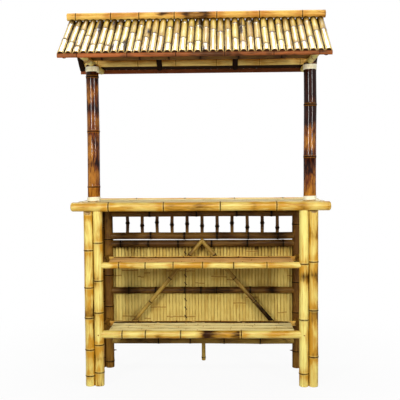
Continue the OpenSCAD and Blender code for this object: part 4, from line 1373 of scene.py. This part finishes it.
bundle = new_bundle()
mat_boxes = [(points.min(0), points.max(0)) for points in solids_of("panel_mats")]
for low, high in mat_boxes:
    count = round((high[0] - low[0]) / MAT_STEP)
    step, tall = (high[0] - low[0]) / count, high[2] - low[2]
    left_in_cane = 0
    for i in range(count):
        if left_in_cane == 0:
            left_in_cane = dice.randint(*SLATS_IN_CANE)
            cane_tone, cane_ring = dice.random(), dice.uniform(*MAT_NODE)
        left_in_cane -= 1
        rings = [cane_ring + k * MAT_NODES_APART + dice.gauss(0, MAT_NODE_SLIP) for k in range(MAT_NODES)]
        tone = min(max(cane_tone * CANE_TONE_SHARE + dice.gauss(*SLAT_TONE), 0), 1)
        burns = [(dice.random(), MAT_MARK_HALF, dice.choice(MAT_MARKS), None)]
        burns += [(1.0, MAT_SHADE_HALF, MAT_SHADE, None)]
        add_strip(bundle, mat_outline(step, high[1] - low[1]), (low[0] + (i + 0.5) * step, low[1], low[2]),
                  (0, 0, 1), (1, 0, 0), (0, 1, 0), tall, [r for r in rings if r < tall - TOP_CLEAR],
                  rise=SLAT_RISE, spacing=0.2, tone=tone, burns=burns)
make_piece("panel_mats_slats", bundle, [mat_slat, split_side], "split_slat", "panel_mats")

# %% [markdown]
# ## The joint between the mats
# The two mats meet in a joint that is backed by a thin lath and laced with dark twine, between one rail and
# the next. A curve with a round bevel could be the twine. As loops along a helix it has the grain that the
# materials read, and it stays a plain mesh.

# %% Twist a cord
CORD_SIDES = 8


def add_cord(bundle, path, radius):
    """A round cord through a list of points that never run straight up."""
    path = np.array(path)
    way = np.gradient(path, axis=0)
    side = np.cross(way, (0.0, 0.0, 1.0))
    side = side / np.linalg.norm(side, axis=1)[:, None]
    top = np.cross(side, way)
    top = top / np.linalg.norm(top, axis=1)[:, None]
    angle = round_angles(CORD_SIDES)
    run = np.concatenate(([0.0], np.cumsum(np.linalg.norm(np.diff(path, axis=0), axis=1))))
    shift, tone = grain_start(), dice.random()
    far, unburnt = [FAR_FROM_RING] * CORD_SIDES, [0.0] * CORD_SIDES
    flat = radius * np.column_stack((np.cos(angle), np.sin(angle)))
    made = []
    for k in range(len(path)):
        points = path[k] + radius * (np.outer(np.cos(angle), side[k]) + np.outer(np.sin(angle), top[k]))
        grain = np.column_stack((flat, np.full(CORD_SIDES, run[k]))) + shift
        made.append(add_points(bundle, points, grain, far, tone, unburnt))
    for a, b in zip(made, made[1:]):
        bridge(bundle, a, b, CORD_SIDES, SKIN)
    cap(bundle, made[0], CORD_SIDES, SKIN)
    cap(bundle, made[-1], CORD_SIDES, SKIN, flip=True)
    print("cord of", round(float(run[-1]), 2), "m")


print("sides of a cord", CORD_SIDES)

# %% Lace the joint
LATH_W, LATH_T, LATH_GAP = 0.016, 0.003, 0.0002
LATH_NODES = [0.12, 0.38]
TWINE_R, STITCH, STITCH_REACH, RAIL_CLEAR = 0.0026, 0.052, 0.008, 0.006
TURN_POINTS = 24
left_mat, right_mat = sorted(mat_boxes, key=lambda box: box[0][0])
joint_x = (left_mat[1][0] + right_mat[0][0]) / 2
mat_front, mat_back = left_mat[0][1], left_mat[1][1]
bundle = new_bundle()
lath = [(-LATH_W / 2, 0, CUT), (LATH_W / 2, 0, CUT), (LATH_W / 2, LATH_T, SKIN), (-LATH_W / 2, LATH_T, SKIN)]
add_strip(bundle, lath, (joint_x, mat_back + LATH_GAP, left_mat[0][2]), (0, 0, 1), (1, 0, 0), (0, 1, 0),
          left_mat[1][2] - left_mat[0][2], LATH_NODES, tone=0.5)
make_piece("panel_joint_lath", bundle, [split_brown, brown_side], "split_brown")

bundle = new_bundle()
levels = [rails[key] for key in ("panel_bottom_rail", "panel_middle_rail", "panel_top_rail")]
middle_y = (mat_front + mat_back + LATH_T) / 2
deep = (mat_back + LATH_T - mat_front) / 2 + TWINE_R
for under, over in zip(levels, levels[1:]):
    z0 = under["mid"][2] + under["radius"] + RAIL_CLEAR
    z1 = over["mid"][2] - over["radius"] - RAIL_CLEAR
    turns = round((z1 - z0) / STITCH)
    path = []
    for k in range(turns * TURN_POINTS + 1):
        a = 2 * math.pi * k / TURN_POINTS
        x, y = joint_x + STITCH_REACH * math.cos(a), middle_y - deep * math.sin(a)
        path.append((x, y, z0 + (z1 - z0) * k / (turns * TURN_POINTS)))
    add_cord(bundle, path, TWINE_R)
make_piece("panel_joint_twine", bundle, [twine], "cane_dark")

# %% [markdown]
# ## Pegs
# The lower front pole is pinned through each inner leg with a dark peg, whose head shows as a dot. A
# sharper peg stands out from each inner leg of the guests' row, close to the floor. A cone and a cylinder
# could be joined for each, but a profile turned round its own line gives both shapes with one function.

# %% Drive the pegs
PEG_SIDES, PEG_BURN = 12, 0.5
HEAD_PROFILE = [(-0.004, 0.0044), (0.0006, 0.0044), (0.0012, 0.0036), (0.0015, 0.0016)]
SPIKE_PROFILE = [(-0.004, 0.0046), (0.0004, 0.0046), (0.006, 0.0036), (0.012, 0.0022), (0.018, 0.0007)]
SPIKE_H = 0.107


def add_peg(bundle, at, way, profile):
    """Turns a profile of (distance, radius) round a line that starts at a point on a cane's skin."""
    way, side = np.array(way, float), np.array((0.0, 0.0, 1.0))
    over = np.cross(way, side)
    angle = round_angles(PEG_SIDES)
    rays = np.outer(np.cos(angle), side) + np.outer(np.sin(angle), over)
    shift, tone, made = grain_start(), dice.random(), []
    far, dark = [FAR_FROM_RING] * PEG_SIDES, [PEG_BURN] * PEG_SIDES
    for t, r in profile:
        points = np.array(at) + t * way + r * rays
        made.append(add_points(bundle, points, points + shift, far, tone, dark))
    for a, b in zip(made, made[1:]):
        bridge(bundle, b, a, PEG_SIDES, SKIN)
    cap(bundle, made[0], PEG_SIDES, CUT)
    cap(bundle, made[-1], PEG_SIDES, SKIN, flip=True)


bundle = new_bundle()
for leg in left_legs + right_legs:
    at = (leg["mid"][0], leg["mid"][1] - leg["radius"], fronts["lower"]["mid"][2])
    add_peg(bundle, at, (0, -1, 0), HEAD_PROFILE)
for leg in left_guest + right_guest:
    inward = 1 if leg["mid"][0] < middle_x else -1
    at = (leg["mid"][0] + inward * leg["radius"], leg["mid"][1], SPIKE_H)
    add_peg(bundle, at, (inward, 0, 0), SPIKE_PROFILE)
make_piece("leg_pegs", bundle, [cane_dark, brown_side], "cane_dark")

# %% [markdown]
# ## The posts
# Two dark, smoked canes carry the roof, blotched where the flame lingered. Noise could blotch them, but the
# large pale and dark stretches of the photo would fall anywhere. So a few burns are listed one by one and
# many small ones placed by dice, on any side.

# %% Raise the posts
POST_BURNS = {
    "left_post": [
        (0.97, 0.05, 0.5, -120), (0.88, 0.1, 0.3, None), (0.7, 0.1, 0.35, None), (0.3, 0.03, 0.5, -60),
    ],
    "right_post": [(0.86, 0.22, 0.9, None), (0.62, 0.06, 0.5, None), (0.3, 0.05, 0.6, -120)],
}
POST_TONES = {"left_post": 0.35, "right_post": 0.5}
POST_MOVES = {"left_post": [0.031, 0.038, 0.017], "right_post": [0.035, 0.0]}
BLOTCHES, BLOTCH_AT = 22, (0.02, 0.98)
BLOTCH_HALF, BLOTCH_BURN = (0.015, 0.06), (0.1, 0.4)
for node, cane in posts.items():
    burns = list(POST_BURNS[node])
    for _ in range(BLOTCHES):
        share, half = dice.uniform(*BLOTCH_AT), dice.uniform(*BLOTCH_HALF)
        burns.append((share, half, dice.uniform(*BLOTCH_BURN), dice.uniform(-180, 180)))
    raised = dict(cane, rings=moved_rings(cane, POST_MOVES[node]))
    cane_piece(node, [raised], cane_dark, slot="cane_dark", sides=40, rise=0.0022, sway=0.0012, burns=burns,
               tone=POST_TONES[node])

# %% [markdown]
# ## The bindings
# Strips of pale rattan are wound round the feet and heads of the posts. A ribbed ring would look much the
# same from afar, but a flat strip swept along a helix shows how the turns climb, and its ends tuck in under
# them.

# %% Wind the bindings
STRIP_THICK, STRIP_GAP, STRIP_FILL = 0.0022, 0.0004, 0.49
EDGE_THICK, EDGE_AT = 0.7, 0.6
TURN_STEPS, TUCK_STEPS, TUCK_DEPTH = 40, 5, 0.9
START_TURN, SPARE_TURN, LEVEL_TURN = 0.6, 0.25, 0.1
BINDINGS = {"post_foot_bindings": 0.0062, "post_head_bindings": 0.0072}


def wind(bundle, x, y, radius, low, high, width):
    """A flat strip wound from low to high round an upright pole."""
    turns = max(2, round((high - low) / width))
    pitch = (high - low - width) / turns
    half, edge = width * STRIP_FILL, STRIP_THICK * EDGE_THICK
    upper = [(STRIP_THICK, half * EDGE_AT), (edge, half), (0, half)]
    profile = [(p, -q) for p, q in upper[::-1]] + upper
    count, steps = len(profile), int((turns + SPARE_TURN) * TURN_STEPS)
    tone, shift = dice.random(), dice.uniform(0, PATTERN_SIZE)
    made = []
    for k in range(steps + 1):
        a = 2 * math.pi * k / TURN_STEPS - START_TURN
        z = low + width / 2 + pitch * min(max(k / TURN_STEPS - LEVEL_TURN, 0), turns)
        ends = max(0, 1 - k / TUCK_STEPS) + max(0, 1 - (steps - k) / TUCK_STEPS)
        r = radius - STRIP_THICK * TUCK_DEPTH * ends
        points = [(x + (r + p) * math.cos(a), y + (r + p) * math.sin(a), z + q) for p, q in profile]
        grain = [(p + shift, q + shift, a * radius) for p, q in profile]
        made.append(add_points(bundle, points, grain, [FAR_FROM_RING] * count, tone, [0.0] * count))
    for a, b in zip(made, made[1:]):
        bridge(bundle, a, b, count, SKIN)
    cap(bundle, made[0], count, SKIN, flip=True)
    cap(bundle, made[-1], count, SKIN)


for node, width in BINDINGS.items():
    bundle = new_bundle()
    for points, post in zip(solids_of(node), posts.values()):
        x, y, _ = post["mid"]
        wind(bundle, x, y, post["radius"] + STRIP_GAP, points[:, 2].min(), points[:, 2].max(), width)
    make_piece(node + "_rattan", bundle, [rattan], "rattan", node)

# %% [markdown]
# ## The roof frame
# A cross arm lies on each post and a tie beam joins the arms. Two purlins and a ridge beam carry the tiles.
# Most of it hides under the roof, so plain cylinders could do. But the sawn ends show at the gables, and a
# whole cane with open ends takes one line.

# %% Lay the roof canes
ROOF_CANES = {
    "cross_arms": (1, cane_yellow),
    "tie_beam": (0, cane_brown),
    "ridge_beam": (0, cane_brown),
    "purlins": (0, purlin_skin),
}
for node, (axis, finish_of_cane) in ROOF_CANES.items():
    cane_piece(node, canes_of(node, axis), finish_of_cane, "open", "open", sides=28, tone=0.3, **HIDDEN)

# %% [markdown]
# ## Rafters and eave strips
# Split rafters lie under the purlins, down the slope, and a split strip closes the lower ends of the tiles
# on each side. A rafter is half a cane, so its outline is an arc. The top of an eave strip is planed to
# the slope of the roof. That outline could be worked out again, but it is safer to take it from the end
# of the CAD solid itself.

# %% Split the rafters
RAFTER_ANGLES = (14, 35, 60, 90, 120, 145, 166)
# The rafters are darkened nearly to black along their whole length.
RAFTER_DARKENING = [(0.5, 0.6, 1.2, None)]
RAFTER_NODE = (0.08, 0.25)


def slope_frame(points):
    """Directions down a slope and square to it, from the solid that lies on it."""
    flat = points[:, 1:] - points[:, 1:].mean(0)
    down = np.linalg.svd(flat, full_matrices=False)[2][0]
    down = down if down[1] < 0 else -down
    square = np.array((-down[1], down[0])) * np.sign(down[0])
    return np.array((0, *down)), np.array((0, *square))


def on_slope(points):
    """A solid on a slope: down, square to it, its upper end, its reach down, width and depth."""
    down, square = slope_frame(points)
    s, n, x = points @ down, points @ square, points[:, 0]
    origin = down * s.min() + square * n.max()
    origin[0] = (x.max() + x.min()) / 2
    return down, square, origin, s.max() - s.min(), x.max() - x.min(), n.max() - n.min()


bundle = new_bundle()
for points in solids_of("rafters"):
    down, square, origin, length, width, _ = on_slope(points)
    r, turned = width / 2, [math.radians(a) for a in RAFTER_ANGLES]
    outline = [(-r, 0, CUT), (r, 0, CUT)] + [(r * math.cos(a), -r * math.sin(a), SKIN) for a in turned]
    add_strip(bundle, outline, origin, down, (1, 0, 0), square, length, [dice.uniform(*RAFTER_NODE)],
              burns=RAFTER_DARKENING)
make_piece("rafters_split", bundle, [split_brown, brown_side], "split_brown", "rafters")

# %% Plane the eave strips
EAVE_NODES = (0.11, 0.39, 0.66, 0.93, 1.2, 1.45)
EAVE_BURNS = [(0.95, 0.4, 0.45, None), (0.6, 0.25, 0.5, None), (0.35, 0.15, 0.3, None)]
NEAR, ROUND_PLACES = 1e-4, 5
bundle = new_bundle()
for points in solids_of("eave_strips"):
    low, high = points.min(0), points.max(0)
    side = 1 if low[1] > 0 else -1
    back = low[1] if side > 0 else high[1]
    middle_z = (low[2] + high[2]) / 2
    end = points[np.abs(points[:, 0] - low[0]) < NEAR]
    flat = np.column_stack(((end[:, 1] - back) * side, end[:, 2] - middle_z))
    flat = np.unique(np.round(flat, ROUND_PLACES), axis=0)
    off = flat - flat.mean(0)
    flat = flat[np.argsort(np.arctan2(off[:, 1], off[:, 0]))]
    outline = [(a, b, SKIN if a > NEAR else CUT) for a, b in flat]
    add_strip(bundle, outline, (low[0], back, middle_z), (1, 0, 0), (0, side, 0), (0, 0, 1),
              high[0] - low[0], EAVE_NODES, rise=0.0, tone=0.1, spacing=0.05, burns=EAVE_BURNS)
make_piece("eave_strips_split", bundle, [split_brown, eave_back], "split_brown", "eave_strips")

# %% [markdown]
# ## The lining
# From below, one does not look up into the tiles: split slats, laid along the roof, line the space between
# the ridge beam and the purlins, and nearly black ones the space between the purlins and the eave strips,
# as painted shade under the eaves. One sheet on each slope could stand for them. Thin strips, a little
# crowned on the side that shows, catch the light one by one.

# %% Line the roof
LINING_T, LINING_GAP, LINING_SLAT = 0.0016, 0.0002, 0.024
LINING_EDGE, LINING_SHOULDER = 0.6, 0.95
CANE_CLEAR, STRIP_CLEAR, GABLE_CLEAR = 0.009, 0.002, 0.003


def lining_outline(width):
    """A lining slat from its end, crowned below."""
    w, edge, shoulder = width / 2, -LINING_T * LINING_EDGE, -LINING_T * LINING_SHOULDER
    return [
        (-w, 0, CUT), (w, 0, CUT), (w, edge, SKIN, EDGE_PAINTED_SHADE), (w * 0.5, shoulder, SKIN),
        (0, -LINING_T, SKIN), (-w * 0.5, shoulder, SKIN), (-w, edge, SKIN, EDGE_PAINTED_SHADE),
    ]


def add_lining(bundle, down, square, level, s0, s1, x0, x1):
    """A panel of slats that run along the roof, from s0 to s1 down the slope."""
    count = round((s1 - s0) / LINING_SLAT)
    width = (s1 - s0) / count
    for k in range(count):
        origin = down * (s0 + (k + 0.5) * width) + square * level
        origin[0] = x0
        add_strip(bundle, lining_outline(width), origin, (1, 0, 0), down, square, x1 - x0,
                  scattered(x1 - x0), rise=0.0, spacing=0.3)


def slope_reach(node, down, side):
    """From where to where a node's solid on one side of the roof reaches down the slope."""
    solids = solids_of(node)
    mine = [points for points in solids if len(solids) == 1 or points[:, 1].mean() * side > 0]
    reach = mine[0] @ down
    return reach.min(), reach.max()


upper_lining, shade_lining = new_bundle(), new_bundle()
for node, side in (("server_tiles", -1), ("guest_tiles", 1)):
    tiles = solids_of(node)
    down, square = slope_frame(tiles[0])
    level = min((points @ square).min() for points in tiles) - LINING_GAP
    x0, x1 = tiles[0][:, 0].min() + GABLE_CLEAR, tiles[-1][:, 0].max() - GABLE_CLEAR
    ridge_s = sum(slope_reach("ridge_beam", down, side)) / 2
    purlin_s = sum(slope_reach("purlins", down, side)) / 2
    eave_s = slope_reach("eave_strips", down, side)[0]
    add_lining(upper_lining, down, square, level, ridge_s + CANE_CLEAR, purlin_s - CANE_CLEAR, x0, x1)
    add_lining(shade_lining, down, square, level, purlin_s + CANE_CLEAR, eave_s - STRIP_CLEAR, x0, x1)
make_piece("roof_lining_upper", upper_lining, [lining_skin, split_side], "split_slat")
# The lower lining is a nearly black sheet of slats, painted shade under the eaves.
make_piece("roof_lining_shade", shade_lining, [tile_wall, tile_wall], "split_brown")

# %% [markdown]
# ## The tiles
# A tile is half a cane laid with its hollow down. Seventy-two copies of one mesh would look stamped, so
# each tile gets its own radius, length, node place, tone and a slight roll. Its edges are darkened as
# painted shade in the valleys between tiles, and its head as painted shadow under the ridge pole. A little
# inside its lower end, a tile is closed by the wall of its last node, nearly black as painted shade.

# %% Outlines of a tile
TILE_RISE, TILE_WALL = 0.017, 0.0036
WALL_SUNK = 0.0003
OUTER_STEPS, INNER_STEPS = 16, 10
# This darkens each tile towards its edges: painted shade in the valleys between the tiles.
PAINTED_SHADE, PAINTED_SHADE_FROM = 1.3, 0.5


def tile_outline(width, scale):
    """Half a cane from its end: skin outside, darkened towards the edges as painted shade, and a hollow
    inside.
    """
    radius = (width * width / 4 + TILE_RISE**2) / (2 * TILE_RISE) * scale
    half = math.acos((radius - TILE_RISE * scale) / radius)
    inner_r = radius - TILE_WALL * scale
    outline = []
    for a in np.linspace(-half, half, OUTER_STEPS):
        shade_mark = PAINTED_SHADE * max(0.0, (abs(a) / half - PAINTED_SHADE_FROM) / (1 - PAINTED_SHADE_FROM))
        outline.append((radius * math.sin(a), radius * (math.cos(a) - 1), SKIN, shade_mark))
    for a in np.linspace(half, -half, INNER_STEPS):
        outline.append((inner_r * math.sin(a), inner_r * math.cos(a) - radius, HOLLOW))
    return outline


def wall_outline(outline, width, drop):
    """The last node's wall, which closes the hollow down to the eave strip."""
    inner = np.array([point[:2] for point in outline if point[2] == HOLLOW])
    arc = [(a, b, CUT) for a, b in inner + outward(inner) * WALL_SUNK]
    low, w = inner[0][1], width / 2 + WALL_SUNK
    return arc + [(-w, low, CUT), (-w, -drop, CUT), (w, -drop, CUT), (w, low, CUT)]


print("points round a tile", len(tile_outline(0.042, 1.0)))

# %% Split the tiles
TILE_SCALES, TILE_SHORTER, TILE_ROLL_DEG = (0.965, 1.0), (0.0, 0.002), 2.0
END_SPARE = 0.0022
RING_SHARES, SECOND_RING = (0.12, 0.85), 0.5
# The first half width is the reach of the painted shadow under the ridge pole, on the heads of the tiles.
RIDGE_SHADE_HALF, RIDGE_SMOKE_HALF, RIDGE_SMOKE = 0.035, 0.16, (0.2, 0.6)
TILE_MARKS, TILE_MARK_HALF = (0, 0.2, 0.4, 0.7, 1.0), (0.03, 0.1)
WALL_T, WALL_BACK = 0.002, (0.002, 0.006)


def tile_rings(length):
    """One node line on a tile, or two that lie half its length apart."""
    first = dice.uniform(*RING_SHARES)
    second = first + SECOND_RING if first < SECOND_RING else first - SECOND_RING
    return sorted(length * share for share in (first, second) if RING_SHARES[0] < share < RING_SHARES[1])


def tile_burns():
    """Painted shadow under the ridge pole, smoke there too, and one flame mark anywhere."""
    ridge = [(0.0, RIDGE_SHADE_HALF, 1.0, None), (0.0, RIDGE_SMOKE_HALF, dice.uniform(*RIDGE_SMOKE), None)]
    share, half = dice.random(), dice.uniform(*TILE_MARK_HALF)
    return ridge + [(share, half, dice.choice(TILE_MARKS), dice.uniform(0, 180))]


walls = new_bundle()
for node in ("server_tiles", "guest_tiles"):
    bundle = new_bundle()
    for points in solids_of(node):
        down, square, origin, reach, width, drop = on_slope(points)
        outline = tile_outline(width, dice.uniform(*TILE_SCALES))
        length = reach - END_SPARE - dice.uniform(*TILE_SHORTER)
        roll = math.radians(dice.uniform(-TILE_ROLL_DEG, TILE_ROLL_DEG))
        across = np.array((math.cos(roll), 0, 0)) + square * math.sin(roll)
        up = square * math.cos(roll) - np.array((math.sin(roll), 0, 0))
        rings, burns, tone = tile_rings(length), tile_burns(), dice.random()
        add_strip(bundle, outline, origin, down, across, up, length, rings, rise=0.0011, burns=burns,
                  spacing=0.06, tone=tone)
        back = length - dice.uniform(*WALL_BACK) - WALL_T
        add_strip(walls, wall_outline(outline, width, drop), origin + down * back, down, across, up, WALL_T,
                  tone=tone)
    make_piece(node + "_split", bundle, [split_tile, tile_rim, tile_hollow], "split_tile", node)
# The end walls are nearly black, as painted shade in the hollows of the tiles.
make_piece("tile_end_walls", walls, [tile_wall, tile_wall], "split_tile")

# %% [markdown]
# ## The ridge pole
# A whole cane rests on the heads of both rows of tiles. It is amber, scorched in the middle and sawn open
# at both ends. Noise could scorch it, but it stands against the white ground where every mark shows, so
# its burns are listed one by one.

# %% Lay the ridge pole
RIDGE_BURNS = [
    (0.38, 0.07, 0.9, 20), (0.53, 0.08, 0.85, None), (0.47, 0.03, 0.7, None), (0.2, 0.05, 0.4, 40),
    (0.7, 0.05, 0.5, 60), (0.99, 0.02, 0.8, None), (0.27, 0.03, 0.35, 0),
]
cane_piece("ridge_pole", canes_of("ridge_pole", 0), cane_amber, "open", "open", slot="cane_amber", sides=32,
           rise=0.0004, sway=0.0, tone=0.3, burns=RIDGE_BURNS)
